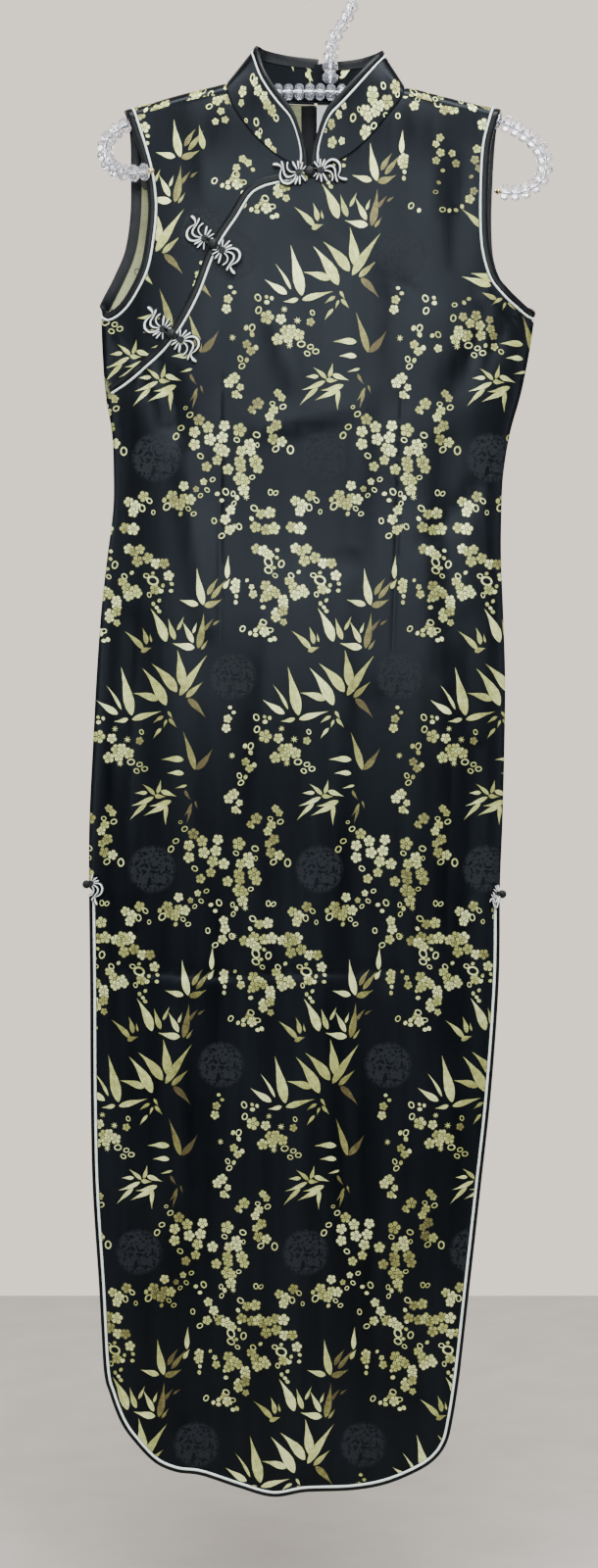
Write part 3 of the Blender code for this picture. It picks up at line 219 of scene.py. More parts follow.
# x, y, radius
FLOWERS = [
    (-87.3, 141.2, 5.7), (-80.6, 139.4, 6.1), (-75.1, 135.1, 5.4), (-49.7, 141.8, 5.7), (-43.6, 138.8, 5.7),
    (-38.8, 141.2, 5.4), (-41.2, 129.7, 6.1), (-30.9, 132.7, 6.1), (-23, 127.3, 5.7), (-15.2, 127.3, 5.7),
    (-10.9, 115.4, 5.7), (-55.8, 110.3, 5.2), (-50.9, 103, 6.5), (-43.6, 101.2, 6.5), (-49.7, 96.4, 5.7),
    (-41.2, 98.8, 5.4), (-107.3, 108.5, 5.2), (-107.9, 103, 5.4), (-78.2, 105.4, 6.1), (-72.7, 101.2, 5.7),
    (-77.6, 95.7, 6.1), (-68.5, 98.2, 5.2), (-61.8, 92.1, 5.7), (-61.2, 86.7, 5.4), (-67.9, 79.4, 5.7),
    (-61.8, 81.2, 5.4), (-68.5, 75.1, 5.2), (-61.2, 70.5, 3.8), (-81.8, 66.1, 5.4), (-79.4, 61.2, 5.7),
    (-24, 102.4, 5.7), (-114.9, -22.4, 4.6), (-116.4, -31.5, 4.9), (-78.8, -39.4, 7.1), (-66.1, -41.2, 5.4),
    (-38.8, -43.6, 4.3), (-69.1, -59.8, 6.1), (-61.8, -51.9, 5.7), (-59.4, -58.5, 5.7), (-56.4, -50.7, 5.4),
    (-49.7, -55.5, 6.1), (-97.6, -64, 4.6), (-93.9, -70.1, 4.6), (-109.1, -94.9, 5.7), (-113.9, -99.1, 5.7),
    (-103.6, -103.4, 3.8), (-107.9, -110, 4.3), (-87.3, -118.5, 6.1), (-93.3, -124, 3.8),
    (-69.1, -108.8, 4.1), (-65.4, -113.1, 4.1), (-72.7, -124.6, 4.9), (-76.4, -130.7, 4.9),
    (-70.3, -138.5, 5.7), (-75.8, -142.8, 4.3), (-73.3, -151.3, 5.7), (-65.4, -153.7, 5.4),
    (-104.2, -142.8, 7.1), (-95.1, -156.1, 6.1), (-102.4, -162.2, 5.7), (-93.9, -162.2, 5.2),
    (-104.2, -171.9, 6.1), (-103, -177.9, 5.4), (-89.7, -171.9, 6.8), (-87.3, -177.9, 5.7),
    (-115.1, -179.1, 5.7), (-104.2, -187.6, 6.8), (-99.4, -190, 5.2), (-100.6, -197.9, 6.1),
    (-118.8, -162.2, 6.1), (-38.8, -203.4, 5.7), (-52.7, -208.2, 5.2), (-46.7, -211.9, 5.7),
    (-48.5, -217.9, 5.4), (-1.2, -194.3, 5.2), (-12.1, -203.4, 6.1), (-9.7, -209.4, 5.7), (-4.8, -212.5, 5.4),
    (-1.2, -205.8, 5.2), (4.8, -207, 5.7), (-84.8, -220.3, 5.2), (-76.4, -219.1, 6.1), (-117.6, -225.2, 5.4),
    (-89.7, -232.5, 5.7), (-80, -234.9, 5.7), (-72.7, -233.7, 6.5), (-56.4, -232.5, 5.7),
    (-48.5, -233.7, 6.5), (12.9, -133.3, 5.9), (8.7, -144.4, 5.9), (8.7, -156, 5.9), (21.3, -140.2, 6.1),
    (23, -151.4, 6.3), (36.5, -138.8, 5.7), (34.5, -149.6, 6.1), (31.5, -160, 6.1), (29.6, -170.5, 5.2),
    (19.8, -176.5, 5.2), (17.1, -190.4, 3.6), (10.1, -197.3, 3.2), (42.1, -216.8, 5), (41, -235, 5.2),
    (-90.5, 97.5, 4.6), (-92, 104.5, 3),
]
# x, y
BUDS = [
    (-67.3, 140), (-67.6, 132.7), (-70.5, 123), (-96.4, 110.9), (-106.7, 95.7), (-107.3, 89.7), (-82.4, 91.5),
    (-80.8, 84.8), (-93.3, 60), (-88.1, 62.8), (-88.1, 58.2), (-73.9, 53.3), (-69.9, 54.5), (-46.7, 118.8),
    (-26.1, 118.2), (-16.4, 106), (-18.2, 100.6), (-20, 91.5), (-25.7, 88.5), (-22.4, 84.8), (-20, 81.2),
    (-7.9, 107.5), (-8.5, 100.8), (-112.7, -11.5), (-109.1, -16.4), (-79.4, -20.6), (-74.5, -21.8),
    (-79, -25.5), (-98.2, -48.8), (-92.7, -54.9), (-97.6, -78.5), (-89.1, -67), (-19.4, -207), (33.9, -207.6),
    (-106.7, -205.2), (-93.3, -224.6), (-90.7, -126.4), (-103.6, -111.9), (29.7, -201.6), (-4.2, -220.3),
]
# x, y, radius
RINGS = [
    (-75.8, 128.5, 4.3), (-75.8, 120.6, 3.7), (-63.3, 126.7, 3.5), (-69.3, 115.4, 2.4), (-53.9, 115.4, 2.9),
    (-32.5, 115.7, 2.7), (-26.1, 110.9, 5.1), (-29.7, 97.2, 2.4), (-100.6, 64.2, 2.9), (-80.6, 70.3, 3.2),
    (-73.9, 62.8, 2.7), (-87.3, -21.2, 3.2), (-86.7, -32.7, 3.2), (-37, -35.1, 2.4), (-92.7, -48.8, 3.2),
    (-47.3, -64, 3.5), (-38.8, -66.4, 2.7), (-41.8, -72.7, 2.7), (-33.9, -70.7, 2.9), (-103.6, -77.3, 2.7),
    (-102.1, -84, 2.9), (-73.9, -118.5, 2.4), (-64.2, -121.6, 2.9), (-88.5, -147.4, 3.2),
    (-87.9, -156.7, 2.1), (-106.9, -151.9, 2.7), (-70.9, -160.3, 3.2), (-57.3, -161, 3.7),
    (-92.7, -186.4, 2.4), (-110.3, -201.6, 2.4), (-75.8, -200.3, 2.7), (-70.9, -200.9, 2.4),
    (-90.9, -214.9, 3.2), (-33.3, -207.6, 2.7), (-40, -214.3, 3.2), (-29.7, -218.3, 2.1), (-17, -213.1, 3.7),
    (3, -215.5, 2.4), (7.9, -220.3, 2.4), (-109.7, -210.6, 2.4), (4.6, -128.5, 2.9), (-3.8, -140.2, 2.9),
    (-8.6, -148, 3.2), (14.2, -166.7, 2.9), (25.4, -188.4, 2.4), (20.3, -198, 2.4), (14.2, -203.2, 2.2),
    (26.8, -226.6, 2.7), (33.8, -240.5, 2.9), (50, -232, 2.9), (0.5, -122, 1.8), (37.6, -199.7, 3.2),
]
# x, y, radius
STARS = [
    (-63, -32.1, 3.2), (-50.9, -42.4, 3.6), (-110.9, -57.9, 3.4), (-58.2, -65.2, 3.6), (-98.2, -204.6, 3.4),
    (-109.1, -231.9, 3.2),
]
# x, y
ROUNDELS = [(-110.3, 18.2), (-26.7, -167.3)]

# Smaller creases of the cloth, which the model's solids leave out: columns as in FOLDS
CREASES = [
    (FRONT, 175, -310, 196, -345, 5, -1.3), (FRONT, 168, -318, 190, -362, 6, 1.1),
    (FRONT, 160, -338, 140, -392, 8, 1.4), (FRONT, 170, -330, 188, -372, 5, -1.5),
    (FRONT, 150, -322, 184, -345, 4, 1.2), (FRONT, -70, -450, 20, -430, 13, 1.2),
    (FRONT, 40, -300, 90, -330, 12, -1), (FRONT, -20, -250, 40, -290, 14, 0.9),
    (FRONT, 90, -560, 150, -500, 12, -1), (FRONT, -219, -338, -196, -372, 6, -1.2),
    (FRONT, -215, -356, -190, -398, 7, 1.2), (FRONT, -178, -384, -160, -440, 7, 1.3),
    (FRONT, -150, -400, -146, -470, 8, -1.1), (FRONT, -222, -1171, -196, -1187, 7, 1.2),
    (FRONT, -219, -1222, -186, -1247, 8, 1.1), (FRONT, -218, -974, -100, -978, 5, -0.7),
    (FRONT, -100, -978, 60, -972, 5, -0.6), (FRONT, -60, -330, -30, -420, 14, 1.5),
    (FRONT, 60, -300, 66, -420, 16, -1.4), (FRONT, 30, -420, 20, -560, 14, 1.3),
    (FRONT, -140, -480, -120, -640, 13, 1.4), (FRONT, 110, -470, 112, -640, 14, -1.5),
    (FRONT, -205, -480, -214, -620, 9, -1.2), (FRONT, 150, -470, 156, -600, 9, 1.1),
    (FRONT, -190, -640, -205, -880, 12, -1.5), (FRONT, -60, -640, -80, -940, 12, 1.2),
    (FRONT, 10, -600, 0, -1000, 13, 1.4), (FRONT, 112, -700, 104, -1100, 12, 1.3),
    (FRONT, 140, -760, 138, -900, 8, -1.1), (FRONT, -190, -950, -196, -1330, 12, 1.3),
    (FRONT, -134, -1010, -146, -1400, 13, -1.4), (FRONT, -66, -1010, -84, -1430, 12, 1.3),
    (FRONT, 52, -1000, 34, -1430, 12, 1.4), (FRONT, 112, -1010, 88, -1380, 11, -1.2),
    (FRONT, -20, -1180, -30, -1460, 11, -1.2), (FRONT, -130, -150, -120, -220, 12, 1),
    (FRONT, 100, -150, 95, -240, 13, 1.1), (FRONT, 128, -190, 120, -290, 10, -1),
    (BACK, -200, -340, -160, -380, 8, -1.2), (BACK, 175, -340, 140, -385, 8, -1.2),
    (BACK, -110, -170, -90, -300, 14, 1.3), (BACK, 70, -170, 60, -300, 14, 1.3),
    (BACK, -60, -380, -70, -560, 12, -1.3), (BACK, 40, -380, 30, -560, 13, 1.3),
    (BACK, -180, -620, -190, -900, 12, 1.3), (BACK, 120, -640, 116, -960, 12, -1.3),
    (BACK, -100, -760, -120, -1100, 12, 1.3), (BACK, 60, -780, 40, -1180, 13, 1.4),
    (BACK, -180, -1000, -190, -1360, 12, -1.3), (BACK, -20, -900, -36, -1300, 11, 1.2),
    (BACK, 20, -1100, 0, -1440, 12, -1.3), (BACK, 110, -1020, 88, -1380, 11, 1.2),
]
# Darts: face, x and z of the top, x and z of the foot, half width, height
DARTS = [
    (FRONT, -107, -400, -107.5, -652, 2.8, -0.6), (FRONT, 68.5, -412, 58.5, -672, 2.6, -0.7),
    (BACK, -112, -400, -116, -640, 2.2, -0.9), (BACK, 74, -400, 68, -640, 2.2, -0.9),
]


# ------------------------------------------------------------------------------------------ curves and tables
def hermite(s, start, end, leave, arrive, span=1.0):
    """A smooth step between two values, which leaves and arrives with the given slopes."""
    return (
        start * (2 * s**3 - 3 * s**2 + 1) + end * (3 * s**2 - 2 * s**3)
        + span * (leave * (s**3 - 2 * s**2 + s) + arrive * (s**3 - s**2))
    )


def read(rows, at, column=1):
    """One column of a table at values of its first column, along a smooth curve through its rows."""
    rows = sorted(rows)
    x = np.array([row[0] for row in rows], float)
    y = np.array([row[column] for row in rows], float)
    slope = np.empty_like(y)
    slope[1:-1] = (y[2:] - y[:-2]) / (x[2:] - x[:-2])
    slope[0], slope[-1] = (y[1] - y[0]) / (x[1] - x[0]), (y[-1] - y[-2]) / (x[-1] - x[-2])
    at = np.clip(np.asarray(at, float), x[0], x[-1])
    i = np.clip(np.searchsorted(x, at), 1, len(x) - 1)
    span = x[i] - x[i - 1]
    return hermite((at - x[i - 1]) / span, y[i - 1], y[i], slope[i - 1], slope[i], span)


def upright(table, z, column=1, shift=0.0):
    """Points at heights z whose x is read from a table."""
    return np.stack([read(table, z, column) + shift, z], axis=1)


def curve(points, step):
    """Points about a step apart on the smooth curve through the given ones, which keeps both ends."""
    p = np.array([tuple(v) for v in points], float)
    s = np.linspace(0, 1, 17)[1:, None]
    fine = [p[:1]]
    for i in range(len(p) - 1):
        a, b, c, d = p[max(i - 1, 0)], p[i], p[i + 1], p[min(i + 2, len(p) - 1)]
        fine.append(0.5 * (
            2 * b + (c - a) * s + (2 * a - 5 * b + 4 * c - d) * s**2 + (3 * b - a - 3 * c + d) * s**3
        ))
    return resampled(np.concatenate(fine), step)


def run_of(points):
    """The length along a polyline at each of its points."""
    return np.concatenate([[0], np.cumsum(np.linalg.norm(np.diff(points, axis=0), axis=1))])


def resampled(fine, step):
    length = run_of(fine)
    want = np.linspace(0, length[-1], max(2, round(length[-1] / step)) + 1)
    return np.stack([np.interp(want, length, fine[:, k]) for k in range(fine.shape[1])], axis=1)


def directions(points):
    ahead = np.empty_like(points)
    ahead[1:-1] = points[2:] - points[:-2]
    ahead[0], ahead[-1] = points[1] - points[0], points[-1] - points[-2]
    return ahead / np.linalg.norm(ahead, axis=1)[:, None]


def left_of(ahead):
    return np.stack([-ahead[:, 1], ahead[:, 0]], axis=1)


def shifted(points, distance, first=None):
    """The same flat polyline moved sideways, to the left of its direction where the distance is positive."""
    ahead = directions(points)
    if first is not None:
        ahead[0] = np.array(first) / np.hypot(*first)
    return points + left_of(ahead) * distance


def smoothstep(s):
    s = np.clip(s, 0.0, 1.0)
    return s * s * (3 - 2 * s)


def circle(count):
    return [2 * math.pi * k / count for k in range(count)]


def full(value, power):
    """A sine or cosine raised to a power that keeps its sign, for ovals with fuller corners."""
    return math.copysign(abs(value) ** power, value)


# ------------------------------------------------------------------------------------------ form of the dress
def nearer(rows):
    """Lines measured on the plane of the side seams, moved to where they're seen on the nearer front."""
    moved = []
    for x, z in rows:
        share = NEARER * float(smoothstep((-115.0 - z) / 40.0))
        moved.append((x + (CENTRE[0] / MM - x) * share, z + (CENTRE[1] / MM - z) * share))
    return moved


OPENING, NECK_LEFT, NECK_RIGHT = nearer(OPENING), nearer(NECK_LEFT), nearer(NECK_RIGHT)


def ridge(x):
    return read(RIDGE, x)


def drop(p):
    """How far pattern points lie down the cloth from the shoulder ridge."""
    return ridge(p[..., 0]) + ARCH_EXTRA - p[..., 1]


def flat(x, z):
    """The pattern point of a place on the hung dress that is seen at x and z."""
    top = float(ridge(x))
    if top - z >= ARCH:
        return (x, z)
    return (x, top + ARCH_EXTRA - ARCH * math.acos(1 - max(top - z, 0.0) / ARCH))


def flat_curve(rows, step):
    return curve([flat(x, z) for x, z in rows], step)


def over_ridge(p):
    """The same places in the pattern of the other face."""
    p = np.array(p, float)
    p[:, 1] += 2 * drop(p)
    return p


def segment_distance(x, z, x0, z0, x1, z1):
    dx, dz = x1 - x0, z1 - z0
    share = np.clip(((x - x0) * dx + (z - z0) * dz) / (dx * dx + dz * dz), 0, 1)
    return np.hypot(x - x0 - dx * share, z - z0 - dz * share), share


CREASE_DEPTH = 1.5
FORMS = FOLDS + [(*row[:6], row[6] * CREASE_DEPTH) for row in CREASES] + DARTS


def folds(x, z, face):
    total = np.zeros_like(x)
    for side, x0, z0, x1, z1, width, height in FORMS:
        away, share = segment_distance(x, z, x0, z0, x1, z1)
        fade = 0.35 + 0.65 * np.sin(math.pi * (0.1 + 0.8 * share))
        total += np.where(face == side, height * fade * np.exp(-((away / width) ** 2)), 0.0)
    return total


def lens_depth(x, z, face):
    left, right = read(SIDES, z, 1), read(SIDES, z, 2)
    out = np.minimum(1.0, np.abs(x - (left + right) / 2) / ((right - left) / 2))
    middle = np.where(face == FRONT, read(DEPTHS, z, 1), read(DEPTHS, z, 2))
    crease = folds(x, z, face) * np.minimum(1.0, 6 * (1 - out))
    return EDGE_DEPTH + middle * (1 - out**LENS_POWER) ** LENS_ROOT + crease


def cloth_middle(p, face, rise):
    x, top, down = p[:, 0], ridge(p[:, 0]), drop(p)
    face = np.where(down < 0, -face, face)
    down = np.abs(down)
    quarter = ARCH * math.pi / 2
    z = top - ARCH - (down - quarter)
    fall = np.clip((down - quarter) / SHOULDER_FALL, 0, 1)
    depth = ARCH + (lens_depth(x, z, face) - ARCH) * (1 - (1 - fall) ** 2)
    if rise:
        depth = depth + overlap_rise(x, z)
    turn = down / ARCH
    over = down < quarter
    y = np.where(over, ARCH * np.sin(turn), depth)
    return np.stack([x, face * y, np.where(over, top - ARCH * (1 - np.cos(turn)), z)], axis=1)


OPENING_LINE = flat_curve(OPENING, 12)


def overlap_rise(x, z):
    """The big front's opening edge lies over the small front."""
    away = np.full(x.shape, 1e9)
    for (x0, z0), (x1, z1) in zip(OPENING_LINE, OPENING_LINE[1:]):
        away = np.minimum(away, segment_distance(x, z, x0, z0, x1, z1)[0])
    return OVERLAP_RISE * smoothstep(1.15 - away / OVERLAP_REACH)


def lifted(middle, p, lift, outward):
    """Places of pattern points, lifted off the cloth's middle along its outward normal, and the normals."""
    here = middle(p)
    across = middle(p + (0.5, 0.0)) - middle(p - (0.5, 0.0))
    up = middle(p + (0.0, 0.5)) - middle(p - (0.0, 0.5))
    normal = np.cross(across, up) * outward
    normal /= np.linalg.norm(normal, axis=1)[:, None]
    return here + normal * np.reshape(lift, (-1, 1)), normal


def dress_points(face, rise=False):
    def place(p, lift=0.0):
        p = np.atleast_2d(np.array(p, float))
        return lifted(lambda q: cloth_middle(q, face, rise), p, lift, -face)
    return place


def collar_points(top_edge, front_neck, back_neck, rise, mirror):
    front_seam = flat_curve(front_neck, 2)[::-1]
    back_seam = [flat(x, z) for x, z in back_neck[:-1]]
    back_seam = curve(back_seam + [flat(back_neck[-1][0] + mirror * GAP, NECK_Z)], 2)

    def on_seam(seam, share):
        at = np.clip(share, 0, 1) * (len(seam) - 1)
        k = np.arange(len(seam))
        return np.stack([np.interp(at, k, seam[:, 0]), np.interp(at, k, seam[:, 1])], axis=1)

    def middle(p):
        length = p[:, 0]
        share = (length - COLLAR_FRONT) / (COLLAR_LENGTH - COLLAR_FRONT)
        before = cloth_middle(on_seam(front_seam, length / COLLAR_FRONT), FRONT, rise)
        after = cloth_middle(on_seam(back_seam, share), BACK, False)
        seam = np.where((length < COLLAR_FRONT)[:, None], before, after)
        top = np.stack([read(top_edge, length, k) for k in (1, 2, 3)], axis=1)
        return seam + (top - seam) * (p[:, 1] / COLLAR_HEIGHT)[:, None]

    def place(p, lift=0.0):
        return lifted(middle, np.atleast_2d(np.array(p, float)), lift, mirror)
    return place


FRONT_SKIN, BACK_SKIN, BIG_FRONT_SKIN = dress_points(FRONT), dress_points(BACK), dress_points(FRONT, True)
COLLAR_SKINS = {
    "left": collar_points(COLLAR_LEFT, NECK_LEFT, BACK_NECK_LEFT, False, -1),
    "right": collar_points(COLLAR_RIGHT, NECK_RIGHT, BACK_NECK_RIGHT, True, 1),
}


# -------------------------------------------------------------------------------------------------- materials
class Nodes:
    """Short words for building a material's nodes."""

    def __init__(self, name, **sockets):
        self.made = bpy.data.materials.new(name)
        self.made.use_nodes = True
        self.tree = self.made.node_tree
        self.shader = self.tree.nodes["Principled BSDF"]
        for socket, value in sockets.items():
            self.shader.inputs[socket.replace("_", " ")].default_value = value

    def node(self, kind, values=(), **settings):
        made = self.tree.nodes.new(kind)
        for key, value in settings.items():
            setattr(made, key, value)
        for socket, value in dict(values).items():
            self.put(made.inputs[socket], value)
        return made

    def put(self, socket, value):
        if isinstance(value, bpy.types.NodeSocket):
            self.tree.links.new(value, socket)
        else:
            socket.default_value = value

    def math(self, operation, *values):
        made = self.node("ShaderNodeMath", operation=operation)
        for socket, value in zip(made.inputs, values):
            self.put(socket, value)
        return made.outputs[0]

    def weave(self):
        return self.node("ShaderNodeUVMap", uv_map="weave").outputs[0]

    def blend(self, first, share, second, rest):
        """Two values times their shares, added."""
        return self.math("ADD", self.math("MULTIPLY", first, share), self.math("MULTIPLY", second, rest))

    def place(self, scale=(1, 1, 1), uv=False):
        coords = self.weave() if uv else self.node("ShaderNodeTexCoord").outputs["Object"]
        return self.node("ShaderNodeMapping", {"Vector": coords, "Scale": scale}).outputs[0]

    def noise(self, scale, detail=3.0, stretch=(1, 1, 1), uv=False):
        sockets = {"Vector": self.place(stretch, uv), "Scale": scale, "Detail": detail, "Roughness": 0.55}
        return self.node("ShaderNodeTexNoise", sockets).outputs["Fac"]

    def ramp(self, value, *stops):
        made = self.node("ShaderNodeValToRGB", {"Fac": value})
        elements = made.color_ramp.elements
        while len(elements) < len(stops):
            elements.new(0.5)
        for element, (at, colour) in zip(elements, stops):
            element.position, element.color = at, (*colour, 1.0)
        return made.outputs["Color"]

    def level(self, value, low, high, to_low=0.0, to_high=1.0):
        made = self.node("ShaderNodeMapRange", {0: value, 1: low, 2: high, 3: to_low, 4: to_high})
        return made.outputs[0]

    def mix(self, share, first, second):
        made = self.node("ShaderNodeMix", data_type="RGBA")
        self.put(made.inputs[0], share)
        for socket, value in ((made.inputs[6], first), (made.inputs[7], second)):
            self.put(socket, (*value, 1.0) if isinstance(value, tuple) else value)
        return made.outputs[2]

    def bump(self, height, strength, distance=0.0004):
        made = self.node("ShaderNodeBump", {"Height": height, "Strength": strength, "Distance": distance})
        self.put(self.shader.inputs["Normal"], made.outputs[0])

    def set(self, **sockets):
        for socket, value in sockets.items():
            self.put(self.shader.inputs[socket.replace("_", " ")], value)
        return self.made

    def set_ranges(self, tone, low, high, worn, smooth, rough):
        """The colour from one uneven value and the roughness from another."""
        return self.set(Base_Color=self.ramp(tone, (0.3, low), (0.7, high)),
                        Roughness=self.level(worn, 0.3, 0.7, smooth, rough))


def satin(name, dark, light, rough=0.33, roundel=False, sheen=0.08, shine=0.12):
    """Black warp satin: fine upright floats, faint streaks and a cool sheen."""
    n = Nodes(name, Sheen_Weight=sheen, Sheen_Roughness=0.35, Sheen_Tint=(0.70, 0.82, 1.0, 1.0),
              Specular_IOR_Level=shine, Specular_Tint=(0.80, 0.90, 1.0, 1.0))
    streak = n.noise(38.0, 4.0, (1.0, 1.0, 0.08))
    colour = n.ramp(n.blend(streak, 0.65, n.noise(9.0, 3.0), 0.35), (0.35, dark), (0.68, light))
    gloss = n.level(streak, 0.3, 0.7, rough - 0.05, rough + 0.06)
    floats = n.noise(1500.0, 2.0, (1.0, 1.0, 0.16))
    if not roundel:
        n.bump(n.math("ADD", floats, n.math("MULTIPLY", streak, 1.5)), 0.22, 0.00025)
        return n.set(Base_Color=colour, Roughness=gloss)
    reach = n.node("ShaderNodeVectorMath", {0: n.weave()}, operation="LENGTH").outputs["Value"]
    # scrolls: the lines where two soft noises pass through their middle
    curls = []
    for scale in (2.6, 4.3):
        off = n.math("ABSOLUTE", n.math("SUBTRACT", n.noise(scale, 1.5, uv=True), 0.5))
        curls.append(n.level(off, 0.035, 0.06, 1.0, 0.0))
    figure = n.math("MULTIPLY", n.math("MAXIMUM", *curls), n.level(reach, 0.80, 0.97, 1.0, 0.0))
    n.bump(n.math("ADD", n.math("MULTIPLY", figure, 0.8), floats), 0.35, 0.0002)
    return n.set(Base_Color=n.mix(n.math("MULTIPLY", figure, 0.5), colour, (0.021, 0.023, 0.026)),
                 Roughness=n.math("ADD", gloss, n.math("MULTIPLY", figure, 0.26)))


def gold(name, flower):
    """Gold weft figures. The weave map runs in mm along a leaf, and in radii about a flower's centre."""
    n = Nodes(name, Metallic=0.45, Specular_IOR_Level=0.5)
    # a figure's shade: partly the weft's own tone, partly painted light, dimmer for figures that caught less
    # light
    shade = n.node("ShaderNodeAttribute", attribute_name="shade").outputs["Fac"]
    u, v = n.node("ShaderNodeSeparateXYZ", {0: n.weave()}).outputs[:2]
    mottle = n.noise(220.0, 3.0)
    # painted sheen: a broad noise, drawn out upright, lightens and darkens the gold in bands where folds
    # would catch the light
    lie = n.noise(16.0, 2.0, (1.0, 1.0, 0.35))
    tone = n.math("ADD", shade, n.level(mottle, 0.3, 0.7, -0.14, 0.14))
    tone = n.math("ADD", tone, n.level(lie, 0.3, 0.7, -0.24, 0.24))
    colour = n.ramp(tone, (0.05, (0.10, 0.075, 0.022)), (0.34, (0.24, 0.23, 0.062)),
                    (0.64, (0.50, 0.53, 0.155)), (0.95, (0.86, 0.91, 0.40)))

    def between(value, low, high):
        return n.math("MULTIPLY", n.math("GREATER_THAN", value, low), n.math("LESS_THAN", value, high))

    if flower:
        reach = n.math("SQRT", n.blend(u, u, v, v))
        lobe = n.math("ABSOLUTE", n.math("COSINE", n.math("MULTIPLY", n.math("ARCTAN2", v, u), 2.5)))
        gaps = n.math("MULTIPLY", n.math("LESS_THAN", lobe, 0.36), n.math("GREATER_THAN", reach, 0.30))
        veins = n.math("MULTIPLY", n.math("GREATER_THAN", lobe, 0.985), between(reach, 0.36, 0.66))
        rim = n.math("GREATER_THAN", reach, n.math("ADD", 0.66, n.math("MULTIPLY", lobe, 0.20)))
        dark = n.math("MAXIMUM", n.math("MAXIMUM", gaps, between(reach, 0.13, 0.27)),
                      n.math("MAXIMUM", veins, rim))
    else:
        side = n.math("ABSOLUTE", v)
        slant = n.blend(u, 2.9, side, 1.6)
        hatch = n.math("SINE", n.math("ADD", slant, n.math("MULTIPLY", n.noise(200.0, 2.0), 6.0)))
        dark = n.math("MULTIPLY", n.level(hatch, 0.05, 0.75), n.level(shade, 0.2, 1.0, 0.62, 0.30))
        dark = n.math("MAXIMUM", dark, n.math("MULTIPLY", n.math("LESS_THAN", side, 0.22), 0.45))
    colour = n.mix(n.math("MULTIPLY", dark, 0.94), colour, (0.012, 0.014, 0.010))
    weft = n.noise(1300.0, 2.0, (0.16, 1.0, 1.0))
    n.bump(n.math("ADD", weft, n.math("MULTIPLY", dark, -1.5)), 0.4, 0.0003)
    return n.set(Base_Color=colour, Roughness=n.level(mottle, 0.3, 0.7, 0.34, 0.48))


def reverse(name, low, high):
    """The back of the brocade: loose floats, duller than the face."""
    n = Nodes(name, Sheen_Weight=0.2, Sheen_Roughness=0.5)
    floats = n.noise(900.0, 2.0, (0.12, 1.0, 1.0))
    cloud = n.noise(30.0, 3.0)
    n.bump(floats, 0.4, 0.0004)
    return n.set_ranges(n.blend(floats, 0.5, cloud, 0.5), low, high, cloud, 0.5, 0.65)


def thread(name, low, high, rough, twist=0.0, sheen=0.3, pucker=1.2, shine=0.4):
    """Cord, tape or bias satin, with slanted threads round it."""
    n = Nodes(name, Sheen_Weight=sheen, Sheen_Roughness=0.4, Specular_IOR_Level=shine)
    along, around = n.node("ShaderNodeSeparateXYZ", {0: n.weave()}).outputs[:2]
    wave = n.math("SINE", n.blend(along, 6.0, around, 4 * math.pi))
    uneven, fine = n.noise(110.0, 2.0), n.noise(1500.0, 2.0)
    n.bump(n.math("ADD", n.blend(wave, twist, uneven, pucker), fine), 0.30, 0.0003)
    return n.set_ranges(n.blend(uneven, 0.7, fine, 0.3), low, high, uneven, rough - 0.06, rough + 0.06)


def metal(name, low, high, rough):
    n = Nodes(name, Metallic=1.0)
    worn = n.noise(300.0, 4.0)
    n.bump(n.noise(1200.0, 2.0), 0.08, 0.0002)
    return n.set_ranges(worn, low, high, worn, rough - 0.05, rough + 0.1)


def clear_bead():
    # the faint bluish emission is painted light: it makes the clear beads glow a little, though they give no
    # light
    n = Nodes("clear_bead", Transmission_Weight=0.92, IOR=1.46, Specular_IOR_Level=0.8,
              Emission_Color=(0.80, 0.84, 1.0, 1.0), Emission_Strength=0.035)
    tint = n.noise(60.0, 2.0)
    n.bump(n.noise(260.0, 2.0), 0.05, 0.0004)
    return n.set_ranges(tint, (0.88, 0.90, 0.98), (0.97, 0.97, 1.0), tint, 0.03, 0.10)


